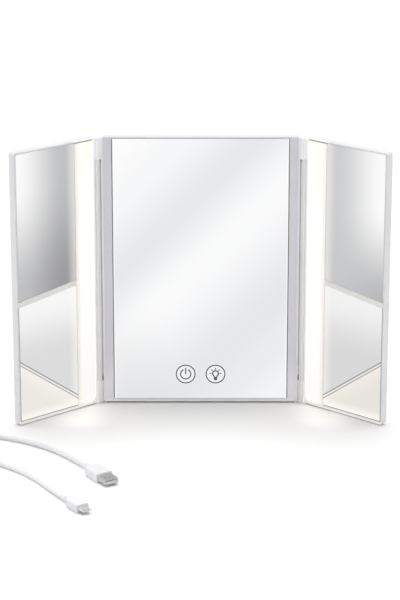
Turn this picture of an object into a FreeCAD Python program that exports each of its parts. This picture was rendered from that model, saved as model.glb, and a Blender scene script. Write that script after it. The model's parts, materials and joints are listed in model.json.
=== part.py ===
import FreeCAD, Part
import math
import os
import re
import Sketcher

# A free-standing vanity mirror of three panels, in millimetres.
# +Z is up, +X is the viewer's right and -Y is the side that the mirrors face.
# The origin is under the middle of the centre panel, on the surface that it stands on.

SIZES = (
    ("panel_height", 250.0, "height of all three frames"),
    ("panel_depth", 8.0, "thickness of all three panels"),
    ("centre_width", 177.6, "width of the centre frame"),
    ("wing_angle", 41.0, "how far each wing stands forward of flat, in degrees"),
    ("foot_height", 1.0, "thickness of the rubber foot strips"),
    ("foot_depth", 6.6, "width of the foot strips, front to back"),
    ("foot_inset", 3.0, "from a panel's side to the end of its foot strip"),
    ("corner_radius", 2.5, "outer corners of the frames"),
    ("edge_radius", 0.6, "rounding of the frames' outer edges"),
    ("wall", 1.5, "outer wall of the frames"),
    ("ledge", 1.0, "step inside the wall that a back cover rests on"),
    ("web", 0.8, "plastic between the glass and the inside"),
    ("cover_thickness", 1.2, "back covers"),
    ("cover_gap", 0.1, "air around a back cover"),
    ("lip", 0.2, "how far the frames stand in front of the glass"),
    ("lip_radius", 0.4, "rounding of the centre frame around its glass"),
    ("glass_thickness", 1.8, "mirror glass and light diffusers"),
    ("tape_thickness", 0.2, "adhesive sheet behind the glass and the cell"),
    ("tape_inset", 4.0, "from the edge of the glass to its adhesive sheet"),
    ("glass_gap", 0.2, "air around the glass"),
    ("glass_corner", 1.2, "corner radius of the mirrors"),
    ("top_border", 1.5, "frame above the glass"),
    ("bottom_border", 2.7, "frame under the glass"),
    ("centre_border", 9.4, "frame beside the centre mirror"),
    ("wing_border", 1.2, "frame outside the wing mirrors"),
    ("barrel_radius", 2.0, "hinge barrels and knuckles"),
    ("hinge_gap", 1.0, "air between the centre frame and a barrel"),
    ("hinge_offset", 0.5, "how far the hinge axes stand in front of the panels"),
    ("wing_margin", 0.3, "how far a wing frame starts outside its barrel"),
    ("meeting_gap", 0.4, "from the middle to the edge of a closed wing"),
    ("knuckle_length", 20.0, "fixed knuckles on the centre frame"),
    ("knuckle_inset", 0.5, "from the end of a panel to its knuckle"),
    ("knuckle_gap", 0.3, "air between a knuckle and the barrel"),
    ("knuckle_chamfer", 0.6, "free ends of the knuckles"),
    ("neck_depth", 3.6, "plastic that carries a knuckle or a barrel"),
    ("stop_width", 1.4, "ribs that close the gaps behind the barrels"),
    ("stop_depth", 1.2, "ribs that close the gaps behind the barrels"),
    ("stop_inset", 5.6, "from the front of the centre frame to these ribs"),
    ("pin_radius", 0.8, "steel pin in the upper knuckle"),
    ("pin_length", 30.0, "steel pin"),
    ("pin_grip", 10.0, "how far a pin reaches into the barrel"),
    ("tube_radius", 1.2, "hollow pin in the lower knuckle"),
    ("tube_bore", 0.8, "hole through the hollow pin"),
    ("tube_rise", 1.0, "from the wire to the hollow pin's lower end"),
    ("running_gap", 0.05, "between a pin and the barrel that turns on it"),
    ("bore_spare", 2.0, "how far a barrel's bores run past the pin and the wire hole"),
    ("wire_radius", 0.4, "light wires"),
    ("wire_hole", 0.6, "radius of the holes that the light wires pass"),
    ("wire_bend", 1.5, "radius of a light wire's bend into the hollow pin"),
    ("wire_entry", 6.0, "from the knuckle's lower end to its wire hole"),
    ("wire_exit", 14.2, "from the barrel's lower end to its wire hole"),
    ("wire_spare", 3.0, "between the middle of a wire hole and where the two light wires meet"),
    ("lead_radius", 0.5, "battery and charging wires"),
    ("strip_inset", 2.7, "from a wing's inner side to its light strip"),
    ("strip_width", 18.4, "opening of the light strip"),
    ("strip_top_radius", 2.0, "upper corners of the light strip"),
    ("strip_bottom_radius", 7.0, "lower corners of the light strip"),
    ("strip_gap", 0.15, "air around the diffuser"),
    ("strip_seat", 1.5, "rim that the diffuser rests on"),
    ("rib_width", 1.8, "frame between the light strip and the wing mirrors"),
    ("divider_near", 120.2, "height of the divider's middle beside the light strip"),
    ("divider_far", 111.8, "height of the divider's middle at the wing's outer side"),
    ("divider_width", 4.8, "divider between the wing mirrors"),
    ("board_thickness", 0.8, "circuit boards"),
    ("light_board_width", 10.0, "light boards"),
    ("light_board_inset", 9.0, "from a wing's end to its light board"),
    ("led_count", 24, "LEDs on each light board"),
    ("led_width", 2.8, "LED across the strip"),
    ("led_length", 3.5, "LED along the strip"),
    ("led_height", 0.7, "LED above its board"),
    ("boss_radius", 1.8, "screw bosses"),
    ("boss_inset", 13.0, "from a panel's end to its outer screws"),
    ("centre_boss_inset", 16.8, "from the centre frame's side to its screws"),
    ("wing_boss_inset", 7.4, "from a wing's sides to its screws"),
    ("screw_radius", 0.75, "screw shanks"),
    ("screw_length", 3.6, "screws under the head"),
    ("head_radius", 1.45, "screw heads"),
    ("head_height", 0.7, "screw heads"),
    ("head_sink", 0.8, "depth of the pockets for the screw heads"),
    ("head_gap", 0.15, "air around a screw head"),
    ("icon_height", 26.8, "touch symbols above the frame's lower edge"),
    ("icon_spacing", 27.3, "between the middles of the two touch symbols"),
    ("icon_radius", 9.1, "rings of the touch symbols"),
    ("icon_line", 1.05, "line width of the touch symbols"),
    ("icon_thickness", 0.1, "print of the touch symbols"),
    ("power_radius", 5.22, "circle of the power symbol"),
    ("bulb_radius", 3.2, "round part of the bulb symbol"),
    ("bulb_rise", 0.5, "from the middle of the bulb symbol's ring to the middle of its round part"),
    ("pad_radius", 6.0, "touch pads behind the symbols"),
    ("pad_thickness", 0.3, "touch pads"),
    ("control_width", 64.0, "control board"),
    ("control_height", 25.0, "control board"),
    ("control_rise", 10.0, "control board above the frame's lower edge"),
    ("plug_width", 4.0, "wire plugs on the control board"),
    ("plug_inset", 2.0, "from the control board's side to its light wire plugs"),
    ("plug_cover", 0.2, "plug behind the wires that it holds"),
    ("cell_width", 60.0, "lithium cell"),
    ("cell_height", 40.0, "lithium cell"),
    ("cell_rise", 49.0, "lithium cell above the frame's lower edge"),
    ("cell_gap", 0.4, "air behind the lithium cell"),
    ("lead_spacing", 3.0, "between the middles of two wires side by side"),
    ("port_rise", 29.0, "charging socket above the frame's lower edge"),
    ("port_recess", 0.3, "charging socket behind the frame's side"),
    ("port_gap", 0.1, "air around the charging socket"),
    ("socket_width", 8.94, "USB-C socket"),
    ("socket_thickness", 3.16, "USB-C socket"),
    ("socket_length", 7.35, "USB-C socket"),
    ("socket_wall", 0.3, "USB-C socket"),
    ("tongue_thickness", 0.7, "USB-C socket's tongue"),
    ("tongue_recess", 1.0, "USB-C socket's tongue behind its mouth"),
    ("tongue_side", 0.4, "USB-C socket's tongue beside the flat part of its mouth"),
    ("tongue_base", 2.2, "thick end of the USB-C socket's tongue"),
    ("charging_plug_drop", 5.0, "charging wires' plug under the middle of the socket"),
    ("charging_board_length", 20.0, "charging board"),
    ("charging_board_width", 20.0, "charging board"),
    ("cord_radius", 2.25, "cord of the charging lead"),
    ("collar_wall", 0.45, "collars around the cord"),
    ("collar_rounding", 0.3, "free ends of the collars"),
    ("coil_outer", 28.5, "middle of the coil's outermost turn"),
    ("coil_inner", 19.5, "middle of the coil's innermost turn"),
    ("coil_x", -216.0, "middle of the coil"),
    ("coil_y", -118.0, "middle of the coil"),
    ("tie_width", 10.0, "strap around the coil"),
    ("tie_thickness", 0.5, "strap around the coil"),
)

# Places that follow from the sizes above. Those of a wing are measured from its hinge axis.
PLACES = (
    ("panel_top", "foot_height + panel_height"),
    ("pocket_depth", "lip + glass_thickness + tape_thickness"),
    ("cavity_start", "pocket_depth + web"),
    ("cavity_end", "panel_depth - cover_thickness"),
    ("centre_front", "-panel_depth / 2"),
    ("half_width", "centre_width / 2"),
    ("centre_near", "-half_width"),
    ("hinge_x", "half_width + hinge_gap + barrel_radius"),
    ("hinge_y", "centre_front - hinge_offset"),
    ("wing_near", "barrel_radius + wing_margin"),
    ("wing_far", "hinge_x - meeting_gap"),
    ("wing_front", "hinge_offset"),
    ("glass_low", "foot_height + bottom_border"),
    ("glass_high", "panel_top - top_border"),
    ("strip_near", "wing_near + strip_inset"),
    ("strip_far", "strip_near + strip_width"),
    ("mirror_near", "strip_far + rib_width"),
    ("mirror_far", "wing_far - wing_border"),
    ("knuckle_low", "foot_height + knuckle_inset"),
    ("knuckle_high", "panel_top - knuckle_inset"),
    ("barrel_low", "knuckle_low + knuckle_length + knuckle_gap"),
    ("barrel_high", "knuckle_high - knuckle_length - knuckle_gap"),
    ("wire_in_z", "knuckle_low + wire_entry"),
    ("wire_out_z", "barrel_low + wire_exit"),
    ("middle_z", "foot_height + panel_height / 2"),
    ("icon_z", "foot_height + icon_height"),
    ("board_front", "centre_front + cavity_start + pad_thickness"),
    ("board_back", "board_front + board_thickness"),
    ("control_low", "foot_height + control_rise"),
    ("control_high", "control_low + control_height"),
    ("lane_y", "centre_front + cavity_end - 3 * wire_radius"),
    ("cavity_middle", "centre_front + (cavity_start + cavity_end) / 2"),
    ("port_z", "foot_height + port_rise"),
    ("socket_end", "half_width - port_recess"),
    ("socket_start", "socket_end - socket_length"),
    ("light_board_front", "wing_front + cavity_end - board_thickness"),
    ("strip_middle", "(strip_near + strip_far) / 2"),
    ("light_board_low", "foot_height + light_board_inset"),
    ("light_board_high", "panel_top - light_board_inset"),
)

LEFT = -1
RIGHT = 1
SIDES = ((LEFT, "left"), (RIGHT, "right"))
X_AXIS = FreeCAD.Vector(1, 0, 0)
Y_AXIS = FreeCAD.Vector(0, 1, 0)
Z_AXIS = FreeCAD.Vector(0, 0, 1)
PAST = 1.0  # how far a cut runs past the face that it leaves
SAME = 0.01  # places closer than this are the same
TOUCH = 0.2  # between the ends of a hinge's two light wires

UPWARDS = 90  # directions in a symbol, in degrees
DOWNWARDS = 270
POWER_GAP = 26  # half of the opening in the power symbol's circle, in degrees
BULB_GAP = 42  # half of the opening in the bulb symbol's round part, in degrees
RAY_STEP = 45  # between the rays of the bulb symbol, in degrees

doc = FreeCAD.newDocument("trifold_mirror")
nodes = []


def fill_sheet():
    sheet = doc.addObject("Spreadsheet::Sheet", "Sizes")
    for row, (alias, number, note) in enumerate(SIZES, 1):
        sheet.set(f"A{row}", note)
        sheet.set(f"B{row}", str(number))
        sheet.setAlias(f"B{row}", alias)
    doc.recompute()
    return sheet


SIZE_NAMES = {alias for alias, number, note in SIZES}
PLACE_NAMES = {name for name, text in PLACES}


def formula(text):
    """Turn plain size names into references to the sheet and the layout."""
    def full_name(word):
        name = word.group()
        if name in SIZE_NAMES:
            return "Sizes." + name
        if name in PLACE_NAMES:
            return "Layout." + name
        return name
    return re.sub(r"[a-z_]+", full_name, str(text))


def bind(target, formulas):
    for path, text in formulas.items():
        target.setExpression(path, formula(text))


def fill_layout():
    places = doc.addObject("App::FeaturePython", "Layout")
    for name, text in PLACES:
        places.addProperty("App::PropertyFloat", name)
        bind(places, {name: text})
    doc.recompute()
    return places


sizes = fill_sheet()
layout = fill_layout()


def size(name):
    """The number behind a size or a place."""
    if name in PLACE_NAMES:
        return getattr(layout, name)
    return float(sizes.get(name))


# ---- helpers for pieces ----

def add_node(kind, label, wing=None):
    """A document object that becomes a sub-part; wing is the side whose hinge carries it."""
    node = doc.addObject(kind, label)
    node.Label = label
    nodes.append(node)
    if wing is not None:
        put_on_wing(node, wing)
    return node


def put_on_wing(node, side):
    """The wing's own frame: at the hinge axis, with +X or -X pointing along the wing."""
    turned = FreeCAD.Rotation(FreeCAD.Vector(0, 0, -side), size("wing_angle"))
    node.Placement = FreeCAD.Placement(FreeCAD.Vector(), turned)
    bind(node, {
        "Placement.Base.x": f"{side} * hinge_x",
        "Placement.Base.y": "hinge_y",
        "Placement.Rotation.Angle": "wing_angle",
    })


def front_sketch(body, name, x, y, z):
    """A sketch on the body's XZ plane with its own origin at (x, y, z)."""
    sketch = body.newObject("Sketcher::SketchObject", name)
    plane = next(f for f in body.Origin.OriginFeatures if f.Role == "XZ_Plane")
    sketch.AttachmentSupport = [(plane, "")]
    sketch.MapMode = "FlatFace"
    bind(sketch, {
        "AttachmentOffset.Base.x": x,
        "AttachmentOffset.Base.y": z,
        "AttachmentOffset.Base.z": f"-({y})",
    })
    return sketch


def line(start, end):
    return Part.LineSegment(FreeCAD.Vector(*start, 0), FreeCAD.Vector(*end, 0))


def arc(middle, radius, start, end):
    circle = Part.Circle(FreeCAD.Vector(*middle, 0), Z_AXIS, radius)
    return Part.ArcOfCircle(circle, math.radians(start), math.radians(end))


def constrain(sketch, *constraint):
    return sketch.addConstraint(Sketcher.Constraint(*constraint))


def dimension(sketch, name, text, *constraint):
    index = constrain(sketch, *constraint)
    sketch.renameConstraint(index, name)
    bind(sketch, {"Constraints." + name: text})


def rounded_rectangle(sketch, width, height, bottom_radius, top_radius):
    """A rectangle that stands on the sketch's own origin, centred across it."""
    w, h, r = 60.0, 90.0, 2.0  # a start for the solver; the dimensions set the real size
    x = w / 2
    sketch.addGeometry([
        line((-x + r, 0), (x - r, 0)),
        line((x, r), (x, h - r)),
        line((x - r, h), (-x + r, h)),
        line((-x, h - r), (-x, r)),
        arc((x - r, r), r, 270, 360),
        arc((x - r, h - r), r, 0, 90),
        arc((-x + r, h - r), r, 90, 180),
        arc((-x + r, r), r, 180, 270),
    ], False)
    for side in range(4):
        constrain(sketch, "Tangent", side, 2, 4 + side, 1)
        constrain(sketch, "Tangent", 4 + side, 2, (side + 1) % 4, 1)
    constrain(sketch, "Horizontal", 0)
    constrain(sketch, "Horizontal", 2)
    constrain(sketch, "Vertical", 1)
    constrain(sketch, "Vertical", 3)
    constrain(sketch, "Equal", 4, 7)
    constrain(sketch, "Equal", 5, 6)
    constrain(sketch, "PointOnObject", 0, 1, -1)
    dimension(sketch, "bottom_corner", bottom_radius, "Radius", 4, r)
    dimension(sketch, "top_corner", top_radius, "Radius", 5, r)
    dimension(sketch, "half_size", f"({width}) / 2", "DistanceX", -1, 1, 1, 1, x)
    dimension(sketch, "full_size", width, "DistanceX", 3, 1, 1, 1, w)
    dimension(sketch, "tall", height, "DistanceY", 0, 1, 2, 1, h)


def slanted_outline(sketch, side, up, width, near_height, far_height):
    """Four straight edges from the sketch's origin: one level, two upright and one slanted."""
    w, near, far = 60.0, 90.0, 80.0  # a start for the solver
    corners = ((0, 0), (side * w, 0), (side * w, up * far), (0, up * near))
    for index in range(4):
        sketch.addGeometry(line(corners[index], corners[(index + 1) % 4]), False)
    for index in range(4):
        constrain(sketch, "Coincident", index, 2, (index + 1) % 4, 1)
    constrain(sketch, "Coincident", 0, 1, -1, 1)
    constrain(sketch, "Horizontal", 0)
    constrain(sketch, "Vertical", 1)
    constrain(sketch, "Vertical", 3)
    level = (0, 1, 0, 2) if side > 0 else (0, 2, 0, 1)
    outer = (1, 1, 1, 2) if up > 0 else (1, 2, 1, 1)
    inner = (3, 2, 3, 1) if up > 0 else (3, 1, 3, 2)
    dimension(sketch, "wide", width, "DistanceX", *level, w)
    dimension(sketch, "far_side", far_height, "DistanceY", *outer, far)
    dimension(sketch, "near_side", near_height, "DistanceY", *inner, near)


def pad(body, name, sketch, depth):
    """Material from the sketch towards the back."""
    feature = body.newObject("PartDesign::Pad", name)
    feature.Profile = sketch
    feature.Reversed = True
    bind(feature, {"Length": depth})
    doc.recompute()
    return feature


def pocket(body, name, sketch, depth):
    """A cut from the sketch towards the back, which has to take material away."""
    before = body.Shape.Volume
    feature = body.newObject("PartDesign::Pocket", name)
    feature.Profile = sketch
    bind(feature, {"Length": depth})
    doc.recompute()
    if body.Shape.Volume >= before:
        raise RuntimeError(f"{body.Label}: {name} cuts nothing")
    return feature


def across(side, near, far):
    """The lower and higher X of a stretch that runs outwards on one side."""
    if side == LEFT:
        return f"-({far})", f"-({near})"
    return near, far


def block(body, kind, name, x, y, z):
    """An additive or subtractive box between pairs of places."""
    feature = body.newObject(f"PartDesign::{kind}Box", name)
    bind(feature, {
        "Placement.Base.x": x[0],
        "Placement.Base.y": y[0],
        "Placement.Base.z": z[0],
        "Length": f"({x[1]}) - ({x[0]})",
        "Width": f"({y[1]}) - ({y[0]})",
        "Height": f"({z[1]}) - ({z[0]})",
    })
    doc.recompute()
    return feature


def rod(body, kind, name, radius, length, start, direction=Z_AXIS):
    """An additive or subtractive cylinder from a starting place."""
    feature = body.newObject(f"PartDesign::{kind}Cylinder", name)
    feature.Placement = FreeCAD.Placement(FreeCAD.Vector(), FreeCAD.Rotation(Z_AXIS, direction))
    bind(feature, {
        "Placement.Base.x": start[0],
        "Placement.Base.y": start[1],
        "Placement.Base.z": start[2],
        "Radius": radius,
        "Height": length,
    })
    doc.recompute()
    return feature


def taper(body, name, low_radius, high_radius, height, start):
    """An additive cone that stands on its starting place."""
    feature = body.newObject("PartDesign::AdditiveCone", name)
    bind(feature, {
        "Placement.Base.x": start[0],
        "Placement.Base.y": start[1],
        "Placement.Base.z": start[2],
        "Radius1": low_radius,
        "Radius2": high_radius,
        "Height": height,
    })
    doc.recompute()
    return feature


def is_along(edge, axis):
    if not isinstance(edge.Curve, Part.Line):
        return False
    return abs(edge.Curve.Direction.dot(axis)) > 0.999


def is_around(edge, front, reach):
    """Whether an edge lies in the plane y = front, no further than reach from the middle."""
    box = edge.BoundBox
    in_plane = abs(box.YMin - front) < SAME and abs(box.YMax - front) < SAME
    return in_plane and max(abs(box.XMin), abs(box.XMax)) < reach


def round_edges(body, name, radius, wanted):
    """Fillet the tip's edges that the given test picks."""
    tip = body.Tip
    picked = [f"Edge{i}" for i, edge in enumerate(tip.Shape.Edges, 1) if wanted(edge)]
    feature = body.newObject("PartDesign::Fillet", name)
    feature.Base = (tip, picked)
    bind(feature, {"Radius": radius})
    doc.recompute()
    return feature


def box(x, y, z):
    """A plain box that a group node holds."""
    solid = doc.addObject("Part::Box", "Box")
    bind(solid, {
        "Placement.Base.x": x[0],
        "Placement.Base.y": y[0],
        "Placement.Base.z": z[0],
        "Length": f"({x[1]}) - ({x[0]})",
        "Width": f"({y[1]}) - ({y[0]})",
        "Height": f"({z[1]}) - ({z[0]})",
    })
    return solid


def cylinder(radius, length, start, direction=Z_AXIS):
    """A plain cylinder that a group node holds."""
    solid = doc.addObject("Part::Cylinder", "Cylinder")
    solid.Placement = FreeCAD.Placement(FreeCAD.Vector(), FreeCAD.Rotation(Z_AXIS, direction))
    bind(solid, {
        "Placement.Base.x": start[0],
        "Placement.Base.y": start[1],
        "Placement.Base.z": start[2],
        "Radius": radius,
        "Height": length,
    })
    return solid


def group(label, solids, wing=None):
    """One node that holds several separate solids."""
    node = add_node("Part::Compound", label, wing)
    node.Links = solids
    return node


def shaped(label, shape, wing=None):
    """A node whose shape is worked out here from the sheet's numbers."""
    node = doc.addObject("Part::Feature", label)
    node.Label = label
    node.Shape = shape
    nodes.append(node)
    if wing is not None:
        put_on_wing(node, wing)
    return node


def rounded_path(points, radii):
    """Straight runs through the points, joined by tangent arcs of the given radii."""
    edges = []
    start = points[0]
    for corner, after, radius in zip(points[1:], points[2:], radii):
        back = (start - corner).normalize()
        ahead = (after - corner).normalize()
        half = back.getAngle(ahead) / 2
        reach = radius / math.tan(half)
        first = corner + back * reach
        last = corner + ahead * reach
        middle = corner + (back + ahead).normalize() * (radius / math.sin(half))
        top = middle + (corner - middle).normalize() * radius
        edges.append(Part.LineSegment(start, first).toShape())
        edges.append(Part.Arc(first, top, last).toShape())
        start = last
    edges.append(Part.LineSegment(start, points[-1]).toShape())
    return Part.Wire(edges)


def tube_along(path, radius):
    """A solid round rod along a path; its volume is compared with section times length."""
    first = path.OrderedEdges[0]
    direction = first.tangentAt(first.FirstParameter)
    section = Part.Wire(Part.makeCircle(radius, path.OrderedVertexes[0].Point, direction))
    solid = path.makePipeShell([section], True, False)
    expected = math.pi * radius ** 2 * path.Length
    if abs(solid.Volume - expected) > 0.01 * expected:
        raise RuntimeError(f"tube of {solid.Volume:.0f} mm3 instead of {expected:.0f} mm3")
    return solid


# ---- what all three panels have ----

def frame_block(label, side, near, far, front, wing=None):
    """A frame's outer block with its rounded edges and the hollow for its insides."""
    body = add_node("PartDesign::Body", label, wing)
    middle = f"{side} * (({near}) + ({far})) / 2"
    width = f"({far}) - ({near})"
    outline = front_sketch(body, "Outline", middle, front, "foot_height")
    rounded_rectangle(outline, width, "panel_height", "corner_radius", "corner_radius")
    pad(body, "Block", outline, "panel_depth")
    round_edges(body, "OuterEdges", "edge_radius", lambda edge: not is_along(edge, Y_AXIS))
    recess = front_sketch(body, "CoverRecess", middle, f"{front} + cavity_end", "foot_height + wall")
    corner = "corner_radius - wall"
    rounded_rectangle(recess, f"{width} - 2 * wall", "panel_height - 2 * wall", corner, corner)
    pocket(body, "CoverSeat", recess, f"cover_thickness + {PAST}")
    inside = "wall + ledge"
    hollow = front_sketch(body, "Inside", middle, f"{front} + cavity_start", f"foot_height + {inside}")
    rounded_rectangle(
        hollow, f"{width} - 2 * ({inside})", f"panel_height - 2 * ({inside})", "ledge", "ledge")
    pocket(body, "Cavity", hollow, "cavity_end - cavity_start")
    return body


def add_bosses(body, places, front):
    for x, z in places:
        start = (x, f"{front} + cavity_start - web / 2", z)
        rod(body, "Additive", "Boss", "boss_radius", "cavity_end - cavity_start + web / 2", start, Y_AXIS)
        hole = (x, f"{front} + panel_depth - head_sink - screw_length", z)
        rod(body, "Subtractive", "ScrewHole", "screw_radius", "panel_depth", hole, Y_AXIS)


def back_cover(label, side, near, far, front, screws, wing=None):
    body = add_node("PartDesign::Body", label, wing)
    inset = "(wall + cover_gap)"
    middle = f"{side} * (({near}) + ({far})) / 2"
    corner = "corner_radius - wall"
    outline = front_sketch(body, "Outline", middle, f"{front} + cavity_end", f"foot_height + {inset}")
    rounded_rectangle(
        outline, f"({far}) - ({near}) - 2 * {inset}", f"panel_height - 2 * {inset}", corner, corner)
    pad(body, "Plate", outline, "cover_thickness")
    for x, z in screws:
        start = (x, f"{front} + cavity_end - {PAST}", z)
        rod(body, "Subtractive", "ShankHole", "screw_radius + head_gap", "panel_depth", start, Y_AXIS)
        sink = (x, f"{front} + panel_depth - head_sink", z)
        rod(body, "Subtractive", "HeadPocket", "head_radius + head_gap", "panel_depth", sink, Y_AXIS)
    return body


def screw_shape(x, back, z):
    """A cross-head screw that points forward from the back cover."""
    seat = FreeCAD.Vector(x, back - size("head_sink"), z)
    head = Part.makeCylinder(size("head_radius"), size("head_height"), seat, Y_AXIS)
    shank = Part.makeCylinder(size("screw_radius"), size("screw_length"), seat, -Y_AXIS)
    arm = size("head_radius") * 0.6
    half_slot = size("head_radius") * 0.14
    depth = size("head_height") * 0.5
    top = seat.y + size("head_height") - depth
    upright = Part.makeBox(2 * half_slot, depth, 2 * arm, FreeCAD.Vector(x - half_slot, top, z - arm))
    level = Part.makeBox(2 * arm, depth, 2 * half_slot, FreeCAD.Vector(x - arm, top, z - half_slot))
    return head.fuse(shank).cut(upright.fuse(level)).removeSplitter()


def foot_strip(label, side, near, far, front, wing=None):
    x = across(side, f"({near}) + foot_inset", f"({far}) - foot_inset")
    y = (f"{front} + (panel_depth - foot_depth) / 2", f"{front} + (panel_depth + foot_depth) / 2")
    body = add_node("PartDesign::Body", label, wing)
    block(body, "Additive", "Strip", x, y, ("0", "foot_height"))
    return body


# ---- centre panel ----

def centre_screw_places():
    x = "(half_width - centre_boss_inset)"
    heights = ("foot_height + boss_inset", "middle_z", "panel_top - boss_inset")
    return [(f"{side} * {x}", z) for side, name in SIDES for z in heights]


def add_knuckles(body, side):
    """Fixed knuckles at both ends of one side, bored for the pins and the light wire."""
    axis = (f"{side} * hinge_x", "hinge_y")
    neck_x = across(side, "half_width - wall", "hinge_x")
    neck_y = ("centre_front", "centre_front + neck_depth")
    upper_low = "knuckle_high - knuckle_length"
    block(body, "Additive", "LowerNeck", neck_x, neck_y, ("knuckle_low", "knuckle_low + knuckle_length"))
    block(body, "Additive", "UpperNeck", neck_x, neck_y, (upper_low, "knuckle_high"))
    length = "knuckle_length - knuckle_chamfer"
    rod(body, "Additive", "LowerKnuckle", "barrel_radius", length, (*axis, "knuckle_low + knuckle_chamfer"))
    rod(body, "Additive", "UpperKnuckle", "barrel_radius", length, (*axis, upper_low))
    end_radius = "barrel_radius - knuckle_chamfer"
    taper(body, "LowerEnd", end_radius, "barrel_radius", "knuckle_chamfer", (*axis, "knuckle_low"))
    upper_end = (*axis, "knuckle_high - knuckle_chamfer")
    taper(body, "UpperEnd", "barrel_radius", end_radius, "knuckle_chamfer", upper_end)
    tube_end = "wire_in_z - tube_radius"
    rod(body, "Subtractive", "TubeSeat", "tube_radius", f"barrel_low - ({tube_end})", (*axis, tube_end))
    pin_seat = (*axis, f"{upper_low} - {PAST}")
    rod(body, "Subtractive", "PinSeat", "pin_radius", f"knuckle_length + 2 * {PAST}", pin_seat)
    inward = FreeCAD.Vector(-side, 1, 0)
    reach = f"(hinge_x - half_width + wall + ledge) * sqrt(2) + {PAST}"
    rod(body, "Subtractive", "WireHole", "wire_hole", reach, (*axis, "wire_in_z"), inward)


def add_stop(body, side):
    """An upright rib between the knuckles that closes the gap behind the barrel."""
    block(body, "Additive", "Stop",
          across(side, "half_width - wall", "half_width + stop_width"),
          ("centre_front + stop_inset", "centre_front + stop_inset + stop_depth"),
          ("knuckle_low", "knuckle_high"))


def centre_frame():
    body = frame_block("centre_frame", RIGHT, "centre_near", "half_width", "centre_front")
    glass = front_sketch(body, "GlassRecess", "0", "centre_front", "glass_low")
    corner = "glass_corner + glass_gap"
    rounded_rectangle(
        glass, "centre_width - 2 * centre_border", "glass_high - glass_low", corner, corner)
    pocket(body, "GlassSeat", glass, "pocket_depth")
    front = size("centre_front")
    opening = size("half_width") - size("centre_border") + SAME
    round_edges(body, "Lip", "lip_radius", lambda edge: is_around(edge, front, opening))
    add_bosses(body, centre_screw_places(), "centre_front")
    for side, name in SIDES:
        add_stop(body, side)
        add_knuckles(body, side)
    half_tall = "(socket_width / 2 + port_gap)"
    half_deep = "(socket_thickness / 2 + port_gap)"
    block(
        body, "Subtractive", "Port",
        (f"half_width - wall - ledge - {PAST}", f"half_width + stop_width + {PAST}"),
        (f"cavity_middle - {half_deep}", f"cavity_middle + {half_deep}"),
        (f"port_z - {half_tall}", f"port_z + {half_tall}"))


def centre_mirror():
    body = add_node("PartDesign::Body", "centre_mirror")
    outline = front_sketch(body, "Outline", "0", "centre_front + lip", "glass_low + glass_gap")
    rounded_rectangle(
        outline, "centre_width - 2 * (centre_border + glass_gap)",
        "glass_high - glass_low - 2 * glass_gap", "glass_corner", "glass_corner")
    pad(body, "Glass", outline, "glass_thickness")
    sheet = add_node("PartDesign::Body", "centre_mirror_tape")
    half = "(half_width - centre_border - glass_gap - tape_inset)"
    block(
        sheet, "Additive", "Sheet", (f"-{half}", half),
        ("centre_front + pocket_depth - tape_thickness", "centre_front + pocket_depth"),
        ("glass_low + glass_gap + tape_inset", "glass_high - glass_gap - tape_inset"))


def flat_ring(outer, line_width):
    """A flat ring in the XZ plane around the origin, one print thick."""
    thickness = size("icon_thickness")
    disc = Part.makeCylinder(outer, thickness, FreeCAD.Vector(), Y_AXIS)
    hole = Part.makeCylinder(outer - line_width, thickness, FreeCAD.Vector(), Y_AXIS)
    return disc.cut(hole)


def flat_bar(start, end, width):
    """A straight printed stroke between two (x, z) points."""
    length = math.dist(start, end)
    bar = Part.makeBox(length, size("icon_thickness"), width, FreeCAD.Vector(0, 0, -width / 2))
    angle = math.degrees(math.atan2(end[1] - start[1], end[0] - start[0]))
    bar.rotate(FreeCAD.Vector(), Y_AXIS, -angle)
    bar.translate(FreeCAD.Vector(start[0], 0, start[1]))
    return bar


def wedge(half_angle, middle, reach):
    """A thick triangle from the origin that opens around the direction middle, in degrees."""
    corners = [FreeCAD.Vector(0, -1, 0)]
    for angle in (middle - half_angle, middle + half_angle):
        turn = math.radians(angle)
        corners.append(FreeCAD.Vector(reach * math.cos(turn), -1, reach * math.sin(turn)))
    corners.append(corners[0])
    return Part.Face(Part.makePolygon(corners)).extrude(FreeCAD.Vector(0, 2, 0))


def power_symbol():
    """A broken circle with an upright stroke in the gap, inside the ring."""
    stroke = size("icon_line")
    circle = flat_ring(size("power_radius"), stroke)
    broken = circle.cut(wedge(POWER_GAP, UPWARDS, size("icon_radius")))
    bar_top = size("power_radius") + 0.8 * stroke
    bar = flat_bar((0, 0), (0, bar_top), stroke)
    return [flat_ring(size("icon_radius"), stroke), broken, bar]


def bulb_outline(bulb, stroke):
    """The round part, the two shoulders and the cap of the light bulb."""
    cap_half = 0.28 * bulb
    cap_top = -0.95 * bulb
    cap_height = 0.95 * bulb
    outline = flat_ring(bulb, stroke).cut(wedge(BULB_GAP, DOWNWARDS, size("icon_radius")))
    shoulder = bulb - stroke / 2
    corner = math.radians(DOWNWARDS - BULB_GAP)
    for side, name in SIDES:
        start = (-side * shoulder * math.cos(corner), shoulder * math.sin(corner))
        outline = outline.fuse(flat_bar(start, (side * cap_half, cap_top - stroke / 2), stroke))
    cap_middle = cap_top - cap_height / 2 - stroke / 4
    cap_reach = cap_half + stroke / 2
    cap = flat_bar((-cap_reach, cap_middle), (cap_reach, cap_middle), cap_height)
    return outline.fuse(cap).removeSplitter()


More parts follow.
